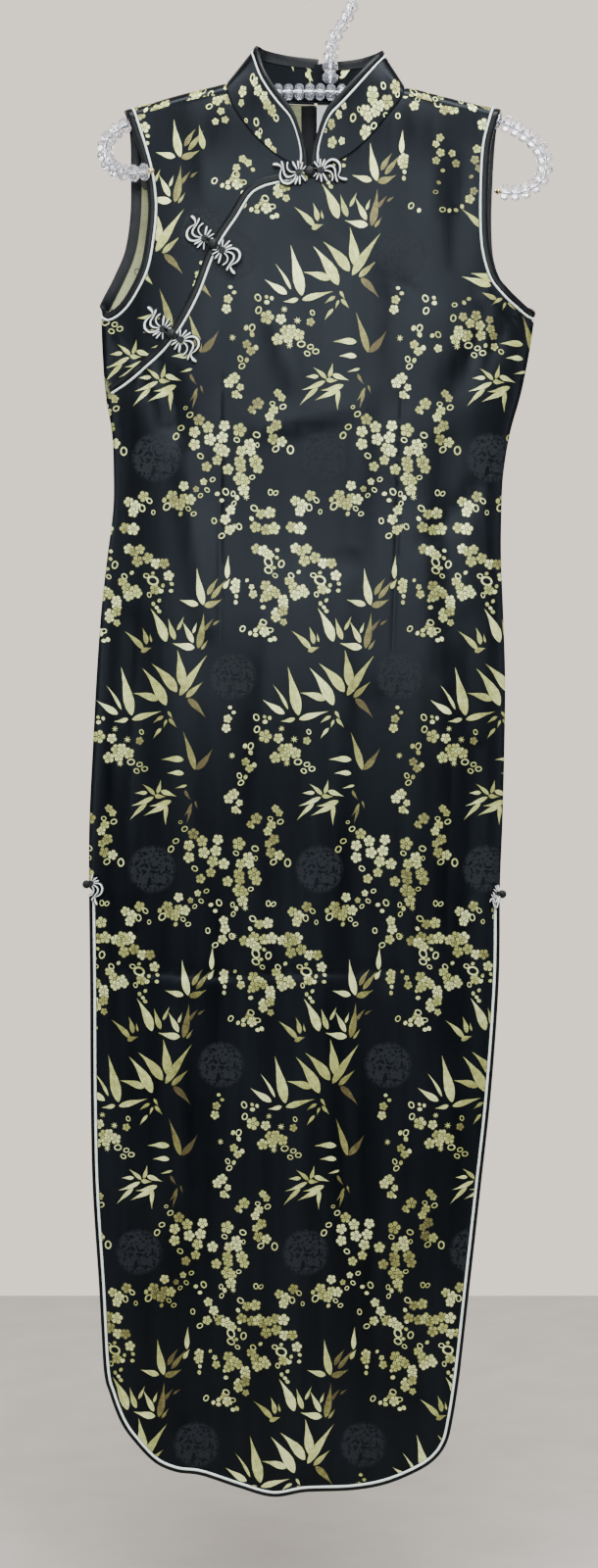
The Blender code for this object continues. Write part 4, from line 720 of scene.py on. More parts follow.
SATIN_LOW, SATIN_HIGH = (0.0012, 0.0016, 0.0021), (0.0046, 0.0060, 0.0080)
LOOKS = {
    "ground": satin("brocade_ground", SATIN_LOW, SATIN_HIGH),
    # the collar's inside: the ground satin with a darker light tone and duller gloss, its colour painted
    # darker as shade
    "inside": satin("brocade_inside_painted_shade", SATIN_LOW, (0.0030, 0.0038, 0.0050), 0.42, sheen=0.02, shine=0.05),
    "roundel": satin("brocade_roundel", SATIN_LOW, SATIN_HIGH, roundel=True),
    "leaf": gold("gold_leaf_weft", False),
    "flower": gold("gold_flower_weft", True),
    "reverse": reverse("reverse_olive", (0.17, 0.18, 0.075), (0.34, 0.35, 0.17)),
    "reverse_dark": reverse("reverse_dark", (0.020, 0.022, 0.016), (0.05, 0.05, 0.035)),
    "binding": thread("black_binding", (0.0014, 0.0018, 0.0023), (0.0042, 0.0054, 0.0066), 0.34,
                      sheen=0.03, pucker=0.12, shine=0.14),
    "piping": thread("white_piping", (0.66, 0.76, 0.68), (0.84, 0.90, 0.84), 0.45, twist=0.25),
    "cord_white": thread("white_cord", (0.80, 0.86, 0.80), (0.93, 0.96, 0.92), 0.5, twist=0.35),
    "cord_black": thread("black_cord", (0.0022, 0.0025, 0.0030), (0.0075, 0.0085, 0.0095), 0.38,
                         twist=0.6, sheen=0.05, shine=0.25),
    "tape": thread("zip_tape", (0.003, 0.003, 0.0036), (0.009, 0.009, 0.011), 0.7,
                   twist=0.5, sheen=0.05, shine=0.15),
    "label": thread("bare_label", (0.72, 0.72, 0.69), (0.86, 0.86, 0.84), 0.7, twist=0.3),
    "zip": metal("black_zip_metal", (0.02, 0.02, 0.024), (0.06, 0.06, 0.066), 0.35),
    "wire": metal("bright_wire", (0.70, 0.71, 0.74), (0.88, 0.88, 0.90), 0.16),
    "cap": metal("gold_cap", (0.66, 0.50, 0.20), (0.88, 0.72, 0.38), 0.26),
    "bead": clear_bead(),
}
# Looks of a panel: ground, leaf, flower and roundel of the face side, then the same four of the reverse
FACE_SIDE = ["ground", "leaf", "flower", "roundel"]
BROCADE = FACE_SIDE + ["reverse", "reverse_dark", "reverse_dark", "reverse"]
# LINED: the collar shows its face on the inside too, on a ground painted darker as shade
LINED = FACE_SIDE + ["inside", "leaf", "flower", "inside"]


# ---------------------------------------------------------------------------------------------- woven pattern
GROUND, LEAF, FLOWER, ROUNDEL = range(4)        # places in FACE_SIDE
COLUMN = 161.0                                  # width of the repeat
SLIM = 0.85                                     # of the leaf widths in the chart
ROUNDEL_RADIUS = 24.6
# Rows of the repeat on the front: z of the big cluster's heart, x of one such heart, size
ROWS = [(86, 36, 1.04), (-304, 20, 1.04), (-708, 15, 1), (-1082, 1, 0.975), (-1449, -23, 0.975)]


def leaf_outline(length, width):
    """A bamboo leaf along +x from its base: widest near the base, with a long drawn-out tip."""
    shares = (0.0, 0.06, 0.16, 0.30, 0.48, 0.68, 0.86)
    halves = (0.12, 0.50, 0.84, 1.0, 0.80, 0.40, 0.14)
    upper = [(length * s, width / 2 * h) for s, h in zip(shares, halves)]
    return [(length, 0.0)] + upper[::-1] + [(a, -b) for a, b in upper]


def round_outline(radius, count, petals=0.0):
    points = []
    for angle in circle(count):
        reach = radius * (1 - petals * (1 - abs(math.cos(2.5 * angle)) ** 0.6))
        points.append((reach * math.cos(angle), reach * math.sin(angle)))
    return points


def bud_outline(radius):
    return [(a * 1.25, b) for a, b in round_outline(radius, 9)]


def ring_outlines(radius, across=0.68, up=0.64):
    """A woven ring and its hole."""
    outer = [(a * 1.15, b * 0.9) for a, b in round_outline(radius, 14)]
    return outer, [(a * across, b * up) for a, b in outer]


def placed(points, centre, turn, size=1.0):
    """A figure's outline about its own origin, turned and moved to its place."""
    c, s = math.cos(turn) * size, math.sin(turn) * size
    return np.array(points) @ np.array(((c, s), (-s, c))) + centre


def repeat_figures():
    """One repeat: look, x and y of the figure's own origin, its turn, its outline about it, size, shade."""
    draw = random.Random(7)
    disc = round_outline(ROUNDEL_RADIUS, 28)
    figures = [(ROUNDEL, x, y, 0.0, disc, ROUNDEL_RADIUS, 0.5) for x, y in ROUNDELS]
    for x, y, tip_x, tip_y, width, shade in LEAVES:
        length, turn = math.hypot(tip_x - x, tip_y - y), math.atan2(tip_y - y, tip_x - x)
        bend = draw.uniform(-0.05, 0.05) * length
        outline = leaf_outline(length, width * SLIM)
        outline = [(a, b + bend * 4 * (a / length) * (1 - a / length)) for a, b in outline]
        figures.append((LEAF, x, y, turn, outline, width / 2, shade + draw.uniform(-0.12, 0.12)))
    for x, y, radius in FLOWERS:
        shade = draw.choice((0.45, 0.55, 0.7, 0.8, 0.9))
        turn = draw.uniform(0, 2 * math.pi)
        figures.append((FLOWER, x, y, turn, round_outline(radius, 20, 0.26), radius, shade))
    for x, y, radius in RINGS:
        turn, (outer, hole) = draw.uniform(0, 6), ring_outlines(radius)
        figures.append((LEAF, x, y, turn, outer, radius * 3, 0.8))
        figures.append((GROUND, x, y, turn, hole, radius, 0.0))
    for x, y in BUDS:
        turn, outline = draw.uniform(0, 6), bud_outline(draw.uniform(1.5, 2.1))
        figures.append((LEAF, x, y, turn, outline, 6.0, draw.uniform(0.6, 1.0)))
    for x, y, radius in STARS:
        tips = [(radius if k % 2 == 0 else radius * 0.3, k * math.pi / 7) for k in range(14)]
        outline = [(reach * math.cos(t), reach * math.sin(t)) for reach, t in tips]
        figures.append((LEAF, x, y, draw.uniform(0, 6), outline, 6.0, 0.8))
    return figures


REPEAT = repeat_figures()


def figures_over(outline, shift=(0.0, 0.0), own=""):
    """Every figure of the pattern that may touch an outline: (look, centre, turn, points, size, shade)."""
    low, high = outline.min(axis=0) - 14, outline.max(axis=0) + 14
    found = []
    for z, x, size in ROWS:
        first = math.floor((low[0] - x - shift[0]) / COLUMN) - 1
        last = math.ceil((high[0] - x - shift[0]) / COLUMN) + 1
        for column in range(first, last + 1):
            corner = np.array((x + column * COLUMN + shift[0], z + shift[1]))
            for look, fx, fy, turn, points, reach, shade in REPEAT:
                centre = corner + np.array((fx, fy)) * size
                if (centre < low - 30).any() or (centre > high + 30).any():
                    continue
                bare = any(math.dist(centre, (bx, bz)) < far for bx, bz, far in BARE.get(own, ()))
                if bare and look != ROUNDEL:
                    continue
                there = placed(points, centre, turn, size)
                if (there.max(axis=0) < low).any() or (there.min(axis=0) > high).any():
                    continue
                found.append((look, centre, turn, there, reach * size, shade))
    return found + own_figures(OWN_SEEN.get(own, ()))


# Where the sewn pieces show little of the pattern or other parts of it, as seen from the front
# x, z, radius left bare
BARE_SEEN = {
    "front_main": [
        (78, -159, 17), (103, -160, 20), (130, -156, 18), (147, -170, 16), (88, -186, 17), (112, -190, 20),
        (124, -215, 22), (98, -214, 19), (142, -205, 20), (104, -236, 14), (134, -238, 16), (125.4, -327, 24),
        (144.4, -316, 17), (108, -349, 14), (152, -338, 14),
    ],
    "front_upper_left": [
        (-88, -163, 16), (-72, -172, 15), (-80, -186, 14), (-66, -192, 12), (-62, -178, 12), (-92, -176, 12),
        (-118, -172, 15), (-116, -160, 12),
    ],
}
# What they show instead, as seen from the front
# kind, x, z, then the radius, or x and z of the tip and the width
OWN_SEEN = {
    "front_main": [
        ("flower", 105.5, -165.5, 4.4), ("flower", 101.5, -172, 4), ("flower", 106, -180.5, 4.6),
        ("flower", 101.6, -188.5, 4.3), ("flower", 117.2, -180.8, 4), ("flower", 121, -190.5, 4.4),
        ("bud", 104, -209.8), ("bud", 108, -198), ("ring", 101, -219, 2.2), ("flower", 141.6, -175.8, 4.6),
        ("flower", 139.6, -186.5, 4.8), ("flower", 143.5, -194.5, 4.4), ("bud", 136, -203),
        ("flower", 134.5, -224.8, 5.2), ("flower", 138.5, -217, 4.2), ("bud", 121, -235.8),
        ("bud", 127, -232), ("ring", 107.8, -235.8, 2.8), ("bud", 114.5, -236.5),
        ("leaf", 155, -308.8, 126.5, -300.5, 7.4), ("leaf", 160, -322, 146, -315.5, 4.6),
        ("flower", 140.6, -338.2, 5.6), ("flower", 127.8, -339.6, 4.8), ("flower", 134.9, -345.8, 5.2),
        ("flower", 144.4, -347.7, 5.6), ("flower", 154.9, -350.6, 4.8), ("flower", 132.5, -357.2, 5.4),
        ("flower", 145.4, -357.2, 5.6), ("flower", 157.7, -357.2, 4.6), ("flower", 153.9, -342, 4.2),
        ("ring", 118.3, -341.1, 3.2), ("ring", 119.5, -328.2, 2.4), ("bud", 128.7, -325.9),
        ("bud", 133.5, -322.1), ("flower", 158.7, -367.7, 4.2), ("bud", 150, -366.7),
        ("ring", 165.3, -372.4, 2.6), ("ring", 103.6, -357.2, 3), ("flower", 103.6, -370.5, 4.4),
        ("bud", 97.9, -358.2),
    ],
    "front_upper_left": [
        ("flower", -86, -187, 4.2), ("flower", -92, -195.5, 4.2), ("flower", -80.5, -191, 4),
        ("bud", -90.5, -202), ("bud", -76, -197.5), ("bud", -88, -209.5),
        ("leaf", -124, -177, -128.5, -153, 6.2), ("flower", -107, -141, 4.2), ("flower", -103, -148.5, 4),
        ("flower", -112.5, -150, 3.8),
    ],
}


def pattern_place(x, z):
    return flat(*nearer([(x, z)])[0])


BARE = {
    name: [(*pattern_place(x, z), reach) for x, z, reach in rows] for name, rows in BARE_SEEN.items()
}


def own_figures(rows):
    draw = random.Random(5)
    found = []
    for kind, x, z, *rest in rows:
        centre, turn = np.array(pattern_place(x, z)), draw.uniform(0.0, 6.0)
        shade = draw.uniform(0.35, 0.75)
        look, size, hole = LEAF, 6.0, None
        if kind == "flower":
            look, size, points = FLOWER, rest[0], round_outline(rest[0], 20, 0.26)
        elif kind == "ring":
            points, hole = ring_outlines(rest[0])
        elif kind == "bud":
            points = bud_outline(1.8)
        else:
            tip = np.array(pattern_place(*rest[:2]))
            turn = math.atan2(tip[1] - centre[1], tip[0] - centre[0])
            points, size = leaf_outline(math.dist(tip, centre), rest[2]), rest[2] / 2
        found.append((look, centre, turn, placed(points, centre, turn), size, shade))
        if hole:
            found.append((GROUND, centre, turn, placed(hole, centre, turn), size, 0.0))
    return found


# ---------------------------------------------------------------------------------------------- making meshes
def finish_mesh(name, data, looks, body="dress", nodes=()):
    made = bpy.data.objects.new(name, data)
    bpy.context.scene.collection.objects.link(made)
    for look in looks:
        data.materials.append(LOOKS[look])
    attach(made, body)
    if nodes:
        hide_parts(*nodes)
    return made


def made_from(bm, name, look, nodes=(), body="dress", sharp=60):
    """A piece from a finished bmesh: smooth but for edges sharper than an angle, or flat if that is None."""
    bmesh.ops.recalc_face_normals(bm, faces=bm.faces)
    data = bpy.data.meshes.new(name)
    bm.to_mesh(data)
    bm.free()
    if sharp:
        data.shade_smooth()
        data.set_sharp_from_angle(angle=math.radians(sharp))
    return finish_mesh(name, data, [look], body, nodes)


def walls(bm, rings, run=None, weave=None, closed=False):
    """Quads between rings of vertices, with the weave map where the length at each ring is given."""
    count = len(rings[0])
    for r, (near, far) in enumerate(zip(rings, rings[1:] + rings[:1] * closed)):
        for k in range(count):
            after = (k + 1) % count
            face = bm.faces.new([near[k], near[after], far[after], far[k]])
            if run is not None:
                for loop, (ring, around) in zip(face.loops, ((r, k), (r, k + 1), (r + 1, k + 1), (r + 1, k))):
                    loop[weave].uv = (run[ring], around / count)


def inside(outline, p):
    """Whether points lie in a flat outline, and how far they are from its edge."""
    within, nearest = np.zeros(len(p), bool), np.full(len(p), 1e9)
    for (x0, z0), (x1, z1) in zip(outline, np.roll(outline, -1, axis=0)):
        if z0 != z1:
            left_of_edge = p[:, 0] < x0 + (x1 - x0) * (p[:, 1] - z0) / (z1 - z0)
            within ^= ((z0 > p[:, 1]) != (z1 > p[:, 1])) & left_of_edge
        if x0 != x1 or z0 != z1:
            nearest = np.minimum(nearest, segment_distance(p[:, 0], p[:, 1], x0, z0, x1, z1)[0])
    return within, nearest


def cloth(name, nodes, outline, grid, place, looks, thick, figures, margin=2.2):
    """A cloth shell with both faces: its outline and figures are filled with triangles on the pattern."""
    keep = np.linalg.norm(outline - np.roll(outline, 1, axis=0), axis=1) > 0.8
    outline = outline[keep]
    x, z = outline.T
    if np.sum(x * np.roll(z, -1) - np.roll(x, -1) * z) < 0:
        outline = outline[::-1]
    within, nearest = inside(outline, grid)
    points = [Vector(p) for p in np.concatenate([outline, grid[within & (nearest > margin)]])]
    faces = [list(range(len(outline)))]
    for figure in figures:
        faces.append(list(range(len(points), len(points) + len(figure[3]))))
        points.extend(Vector(p) for p in figure[3])
    found, _, triangles, _, _, ids = geometry.delaunay_2d_cdt(points, [], faces, 1, 1e-3, True)
    flat_points = np.array([tuple(p) for p in found])
    kept, owner = [], []
    for triangle, sources in zip(triangles, ids):
        if 0 in sources:
            kept.append(triangle)
            owner.append(max(sources))
    kept, owner = np.array(kept), np.array(owner)
    used, kept = np.unique(kept, return_inverse=True)
    kept = kept.reshape(-1, 3)
    flat_points = flat_points[used]
    a, b, c = (flat_points[kept[:, k]] for k in range(3))
    area = (b[:, 0] - a[:, 0]) * (c[:, 1] - a[:, 1]) - (b[:, 1] - a[:, 1]) * (c[:, 0] - a[:, 0])
    kept[area < 0] = kept[area < 0][:, ::-1]

    outer, normal = place(flat_points, thick / 2)
    inner, _ = place(flat_points, -thick / 2)
    count = len(flat_points)
    edges = np.concatenate([kept[:, (0, 1)], kept[:, (1, 2)], kept[:, (2, 0)]])
    low_high = np.sort(edges, axis=1)
    _, first, times = np.unique(low_high, axis=0, return_index=True, return_counts=True)
    rim = edges[first[times == 1]]
    rim_faces = np.concatenate([
        np.stack([rim[:, 1], rim[:, 0], rim[:, 0] + count], axis=1),
        np.stack([rim[:, 1], rim[:, 0] + count, rim[:, 1] + count], axis=1),
    ])
    # the pattern's turning sense decides which way the outer face winds
    test = np.cross(outer[kept[0, 1]] - outer[kept[0, 0]], outer[kept[0, 2]] - outer[kept[0, 0]])
    if np.dot(test, normal[kept[0, 0]]) > 0:
        all_faces = np.concatenate([kept, kept[:, ::-1] + count, rim_faces])
    else:
        all_faces = np.concatenate([kept[:, ::-1], kept + count, rim_faces[:, ::-1]])
    data = bpy.data.meshes.new(name)
    data.vertices.add(2 * count)
    data.vertices.foreach_set("co", (np.concatenate([outer, inner]) * MM).ravel())
    data.loops.add(all_faces.size)
    data.loops.foreach_set("vertex_index", all_faces.ravel().astype(np.int32))
    data.polygons.add(len(all_faces))
    data.polygons.foreach_set("loop_start", np.arange(0, all_faces.size, 3, dtype=np.int32))

    def of_owner(of_ground, values):
        return np.array([of_ground] + list(values))[owner]

    look_of = of_owner(GROUND, (figure[0] for figure in figures))
    rim_look = np.full(len(rim_faces), GROUND)
    look_of = np.concatenate([look_of, look_of + len(FACE_SIDE), rim_look])
    data.polygons.foreach_set("material_index", look_of.astype(np.int32))
    centre = of_owner((0.0, 0.0), (tuple(figure[1]) for figure in figures))
    turn = of_owner(0.0, (figure[2] for figure in figures))
    size = of_owner(1.0, (figure[4] if figure[0] in (FLOWER, ROUNDEL) else 1.0 for figure in figures))
    shade = of_owner(0.5, (figure[5] for figure in figures))
    owners = np.concatenate([np.arange(len(kept)), np.arange(len(kept)), np.zeros(len(rim_faces), int)])
    p = flat_points[all_faces.ravel() % count] - np.repeat(centre[owners], 3, axis=0)
    c, s = np.repeat(np.cos(turn[owners]), 3), np.repeat(np.sin(turn[owners]), 3)
    uv = np.stack([p[:, 0] * c + p[:, 1] * s, -p[:, 0] * s + p[:, 1] * c], axis=1)
    uv /= np.repeat(size[owners], 3)[:, None]
    data.uv_layers.new(name="weave").data.foreach_set("uv", uv.ravel())
    data.attributes.new("shade", "FLOAT", "FACE").data.foreach_set("value", shade[owners])
    data.update(calc_edges=True)
    data.validate()
    data.shade_smooth()
    smooth = np.concatenate([np.ones(2 * len(kept), bool), np.zeros(len(rim_faces), bool)])
    data.polygons.foreach_set("use_smooth", smooth)
    both = np.concatenate([normal, -normal])
    corner = [tuple(n) for n in both[all_faces.ravel()[:6 * len(kept)]]]
    # a normal of zero leaves the rim's own
    data.normals_split_custom_set(corner + [(0.0, 0.0, 0.0)] * (3 * len(rim_faces)))
    return finish_mesh(name, data, looks, nodes=nodes), abs(area).sum() / 2


def loft(name, rings, look, nodes=()):
    """A closed body through rings: an array of (rings, points, 3) in millimetres."""
    bm = bmesh.new()
    weave = bm.loops.layers.uv.new("weave")
    verts = [[bm.verts.new(Vector(p) * MM) for p in ring] for ring in rings]
    bm.faces.new(verts[0])
    bm.faces.new(verts[-1])
    walls(bm, verts, run_of(rings.mean(axis=1)), weave)
    return made_from(bm, name, look, nodes, sharp=55)


def sweep(path, section, place, first=None):
    """Rings of a section, as (across, up) pairs, along a path on a skin."""
    return np.stack([place(shifted(path, across, first), up)[0] for across, up in section], axis=1)


def round_section(radius, lift, sides):
    return [(radius * math.cos(t), lift + radius * math.sin(t)) for t in circle(sides)]


def ring_about(centre, side, other, radius, turns):
    return [tuple(Vector(centre) + (side * math.cos(t) + other * math.sin(t)) * radius) for t in turns]


def tube(name, route, radius, look, nodes=(), sides=12):
    side = None
    rings = []
    for p, way in zip(route, directions(route)):
        way = Vector(way)
        side = side or way.orthogonal().normalized()
        side = (side - way * side.dot(way)).normalized()
        rings.append(ring_about(p, side, way.cross(side), radius, circle(sides)))
    return loft(name, np.array(rings), look, nodes)


def fold_section(outward, reach, radius, binding, base):
    """A binding in section: its band outside, round the raw edge, and its inner turning behind the piping."""
    near, far, top, thin = radius + GAP, radius + GAP + binding, base + BINDING_THICK, 0.55
    below = base - GAP - thin
    points = [
        (near, base + 0.5), (near + 0.35, top - 0.15), (near + 0.9, top), ((near + far) / 2, top + 0.12),
        (far - 0.9, top), (far - 0.25, top - 0.4), (far, (top + below) / 2), (far - 0.25, below + 0.25),
        (far - 0.9, below), (0.0, below), (-reach, below + 0.1), (-reach, below + thin), (0.0, below + thin),
        (near, base - 0.1),
    ]
    return [(outward * across, up) for across, up in points]


def edge_trim(name, path, outward, place, binding=BINDING, first=None, reach=2.4, base=-CLOTH / 2, fine=0.80):
    """Piping and binding along an edge, and where and which way each ends, for the turn at the underarm."""
    radius = PIPING / 2
    cord = sweep(path, round_section(radius * fine, base + radius, 10), place, first)
    fold = sweep(path, fold_section(outward, reach, radius, binding, base), place, first)
    piping = loft(f"{name}_piping_cord", cord, "piping", [f"{name}_piping"])
    band = loft(f"{name}_binding_band", fold, "binding", [f"{name}_binding"])
    ahead = cord[-1].mean(axis=0) - cord[-2].mean(axis=0)
    return [piping, band], (cord[-1], fold[-1], ahead / np.linalg.norm(ahead))


def turn_at_side(name, front, back):
    """The short turn of piping and binding that joins an armhole's front and back at the underarm."""
    for k, part in enumerate(("piping", "binding")):
        a, b = front[k], back[k]
        reach = np.linalg.norm(b - a, axis=1)[:, None] * 1.1
        rings = [hermite(s, a, b, front[2], -back[2], reach) for s in np.linspace(0.0, 1.0, 13)]
        loft(f"{name}_{part}_turn", np.array(rings), part)


# ------------------------------------------------------------------------------------------------------ frogs
# The white cord's share of a stroke's width, and how much wider the black cord under it is
WHITE_SHARE, BLACK_WIDER = 0.66, 1.5
# Half a frog, seen with its knot on the left: the white cords that lie on it, from its eye outwards
# x, y, width
LONG_CORDS = [
    [
        (2.7, 1.8, 1.3), (4, 4.2, 1.6), (6.6, 7.4, 2.2), (10.8, 9.2, 2.8), (15.4, 7.8, 3.1), (18, 3.4, 2.8),
        (17.6, -1.6, 1.8), (16, -5.2, 0.8), (16.6, -7.6, 1.5), (18.8, -9.2, 3), (21.2, -9.9, 3.7),
        (22.4, -10, 3.2),
    ],
    [
        (3.2, 0.8, 1.1), (5.6, 2.3, 1.6), (8.8, 3.4, 2.2), (11.9, 2.7, 2.5), (13.6, -0.4, 2.3),
        (13.8, -4.6, 1.6), (14, -8, 1.6), (14.6, -10.6, 2.6), (14.9, -11.9, 1.8),
    ],
    [
        (3.3, -0.8, 1.1), (5.6, -1, 1.5), (8.3, -2, 1.8), (10.2, -4.4, 1.7), (10.6, -7.2, 1.5),
        (10, -9.6, 2.2), (9.6, -10.7, 1.5),
    ],
]
# x, y of the foot, x, y of the tip, width
SHORT_CORDS = [
    (-2, 2.5, -5.4, 8.2, 2.1), (-0.6, 3.4, 0.2, 10.6, 2.3), (1.2, 3.4, 4.4, 9.8, 2.5),
    (-2, -2.5, -4.6, -8.6, 1.9), (-0.4, -3.4, -0.2, -10.6, 2.2), (1.6, -3.2, 4.8, -10.4, 2.8),
    (-3, -1.6, -7.4, -5.4, 1.5),
]


def raised_cord(bm, line, widths, low, high, place, sides=8):
    """A cord laid on a skin: a rounded ribbon whose width changes along it."""
    weave = bm.loops.layers.uv.get("weave") or bm.loops.layers.uv.new("weave")
    across = left_of(directions(line))
    tall = (high - low) * np.minimum(1.0, 0.45 + widths / widths.max() * 0.6)
    rings = []
    for t in circle(sides):
        offset = across * (widths * 0.5 * full(math.cos(t), 0.75))[:, None]
        rings.append(place(line + offset, low + tall * (0.5 + 0.5 * full(math.sin(t), 0.75)))[0])
    verts = [[bm.verts.new(p) for p in ring] for ring in np.stack(rings, axis=1) * MM]
    bm.faces.new(verts[0][::-1])
    bm.faces.new(verts[-1])
    walls(bm, verts, run_of(line), weave)


def coil(bm, centre, radius, low, high, place):
    """The eye: a cord wound in a flat spiral."""
    t = np.arange(0.0, 2.6, 0.07)
    reach = radius * (1 - 0.33 * t)
    line = centre + np.stack([np.cos(2 * math.pi * t) * reach, np.sin(2 * math.pi * t) * reach], axis=1)
    raised_cord(bm, line[reach > 0.25], np.full((reach > 0.25).sum(), 1.5), low, high, place, 6)


def half_frog(name, centre, turn, scale, bottom, place, squeeze=1.0, nodes=(), within=None):
    """White cords on a bed of black ones, round a coiled eye."""
    draw = random.Random(name)
    turn = math.radians(turn + draw.uniform(-3, 3))
    c, s = math.cos(turn), math.sin(turn)

    def put(points):
        x, y = (points[:, k] * scale * draw.uniform(0.97, 1.03) for k in (0, 1))
        return centre + np.stack([(x * c - y * s) * squeeze, x * s + y * c], axis=1)

    def rounded(line, widths):
        """The same stroke with a round tip."""
        way, wide = line[-1] - line[-2], widths[-1]
        way = way / np.linalg.norm(way)
        return (np.concatenate([line, [line[-1] + way * wide * reach for reach in (0.22, 0.38, 0.46)]]),
                np.concatenate([widths, wide * np.array((0.88, 0.6, 0.25))]))

    strokes = []
    for rows in LONG_CORDS:
        rows = np.array(rows)
        fine, run = curve(rows[:, :2], 0.8), run_of(rows[:, :2])
        strokes.append(rounded(put(fine), np.interp(np.linspace(0.0, run[-1], len(fine)), run, rows[:, 2])))
    for x0, y0, x1, y1, width in SHORT_CORDS:
        share = np.linspace(0.0, 1.0, 8)
        line = np.array((x0, y0)) + np.outer(share, np.array((x1 - x0, y1 - y0)) * draw.uniform(0.9, 1.08))
        fuller = 0.40 + 0.60 * np.sin(math.pi * (0.15 + 0.72 * share) ** 1.5)
        strokes.append(rounded(put(line), width * fuller))
    narrow = math.sqrt(squeeze)
    black, white = bmesh.new(), bmesh.new()
    for line, widths in strokes:
        if within is None or within(line):
            wider = (widths + BLACK_WIDER) * scale * narrow
            raised_cord(black, line, wider, bottom, bottom + 1.5, place, 6)
            raised_cord(white, line, widths * scale * narrow * WHITE_SHARE, bottom + 0.8, bottom + 2.3, place)
    coil(black, centre, 3.1 * scale * narrow, bottom + 0.8, bottom + 2.8, place)
    made_from(black, f"{name}_black_cords", "cord_black", nodes)
    made_from(white, f"{name}_white_cords", "cord_white")


def ball_knot(name, centre, out, radius, nodes, flat_share=0.8):
    """A knotted ball button: pairs of cords wound over it three ways."""
    centre, out = Vector(centre), Vector(out)
    side = out.cross(Vector((0, 0, 1))).normalized()
    up = side.cross(out)
    bm = bmesh.new()
    for a, b, c in ((side, up, out), (up, out, side), (out, side, up)):
        for shift in (-0.46, 0.0, 0.46):
            reach = radius * math.sqrt(1 - shift * shift * 0.8)
            rings = []
            for t in circle(20):
                way = a * math.cos(t) + b * math.sin(t)
                ring = []
                for u in circle(6):
                    p = way * reach + c * (shift * radius)
                    p += (way * math.cos(u) + c * math.sin(u)) * (radius * 0.27)
                    p -= out * (p.dot(out) * (1 - flat_share))
                    ring.append(bm.verts.new((centre + p) * MM))
                rings.append(ring)
            walls(bm, rings, closed=True)
    bmesh.ops.create_uvsphere(bm, u_segments=12, v_segments=8, radius=radius * 0.92 * MM,
                              matrix=Matrix.Translation(centre * MM))
    made_from(bm, name, "cord_black", nodes)


def make_frogs():
    over_trim = -CLOTH / 2 + PIPING + GAP
    for name, x, z, axis in FROGS:
        at, way = np.array(flat(x, z)), np.array((math.cos(math.radians(axis)), math.sin(math.radians(axis))))
        across = left_of(way[None])
        for half, sign in (("inner", -1), ("outer", 1)):
            centre = at + way * (sign * EYE_FROM_KNOT)
            on_small_front = sign == -1 and name != "frog_neck"
            place = FRONT_SKIN if on_small_front else BIG_FRONT_SKIN
            bottom = CLOTH / 2 + GAP if on_small_front else over_trim
            turn = axis if sign == 1 else axis + 180
            half_frog(f"{name}_{half}", centre, turn, 1.0, bottom, place, nodes=[f"{name}_{half}"])
            bm = bmesh.new()
            share = np.linspace(0.0, 1.0, 9)[:, None]
            for k in (-1, 1):
                bow = across * (k * (0.9 + 1.3 * np.sin(math.pi * share)))
                line = centre + (at - way * 2.2 * sign - centre) * share + bow
                raised_cord(bm, line, np.full(9, 1.9), over_trim + 0.2, over_trim + 2.2, BIG_FRONT_SKIN)
            made_from(bm, f"{name}_{half}_stem", "cord_black")
        centre, out = (v[0] for v in BIG_FRONT_SKIN(at, over_trim + KNOT_HEIGHT + 0.4))
        ball_knot(f"{name}_button", centre, out, KNOT_RADIUS, [f"{name}_knot"], 0.75)
    for side, column, inward, z, turn, squeeze in SLIT_FROGS:
        edge = float(read(SIDES, z, column))
        for face, place in (("front", FRONT_SKIN), ("back", BACK_SKIN)):
            name = f"frog_slit_{side}_{face}"
            half_frog(name, np.array((edge + inward * 3.4, z)), turn, 0.84, over_trim, place, squeeze, [name],
                      lambda line: ((line[:, 0] - edge) * inward > 1.0).all())
        centre = (edge - inward * SLIT_KNOT * 0.8, 0.0, z - 1.0)
        ball_knot(f"frog_slit_{side}_button", centre, (0.0, -1.0, 0.0), SLIT_KNOT * 0.95,
                  [f"frog_slit_{side}_knot"], 1.0)


# ----------------------------------------------------------------------------------------------------- panels
NECK_BACK = 0.4
FABRIC_IN = PIPING / 2 + GAP
SKIRT_PIPING_IN = SLIT_BINDING + GAP + PIPING / 2
SKIRT_FABRIC_IN = SKIRT_PIPING_IN + FABRIC_IN
HOLE_SIDE = {"left": -1, "right": 1}
UNDERARM = {"left": (-222.3, -347.0), "right": (195.8, -346.6)}
SIDE_TOP = -352.0


def dart_seams():
    """The sewn line of each dart, drawn in a little."""
    for k, (face, x0, z0, x1, z1, _, _) in enumerate(DARTS):
        line = resampled(np.array([(x0, z0), (x1, z1)]), 6)
        place = BIG_FRONT_SKIN if face == FRONT else BACK_SKIN
        tube(f"dart_seam_{k}", place(line, CLOTH / 2 - 0.22)[0], 0.3, "cord_black", sides=6)


ARMHOLES = {key: flat_curve(rows, 3) for key, rows in (
    ("front_left", ARMHOLE_FRONT_LEFT), ("front_right", ARMHOLE_FRONT_RIGHT),
    ("back_left", ARMHOLE_BACK_LEFT), ("back_right", ARMHOLE_BACK_RIGHT),
)}
SKIRT_LINE = curve(SKIRT, 4)
SKIRT_FABRIC = shifted(SKIRT_LINE, SKIRT_FABRIC_IN)


def armhole_fabric(key):
    return shifted(ARMHOLES[key], -HOLE_SIDE[key.split("_")[1]] * FABRIC_IN)


def neck_fabric(rows, side):
    return shifted(flat_curve(rows, 3), side * NECK_BACK)


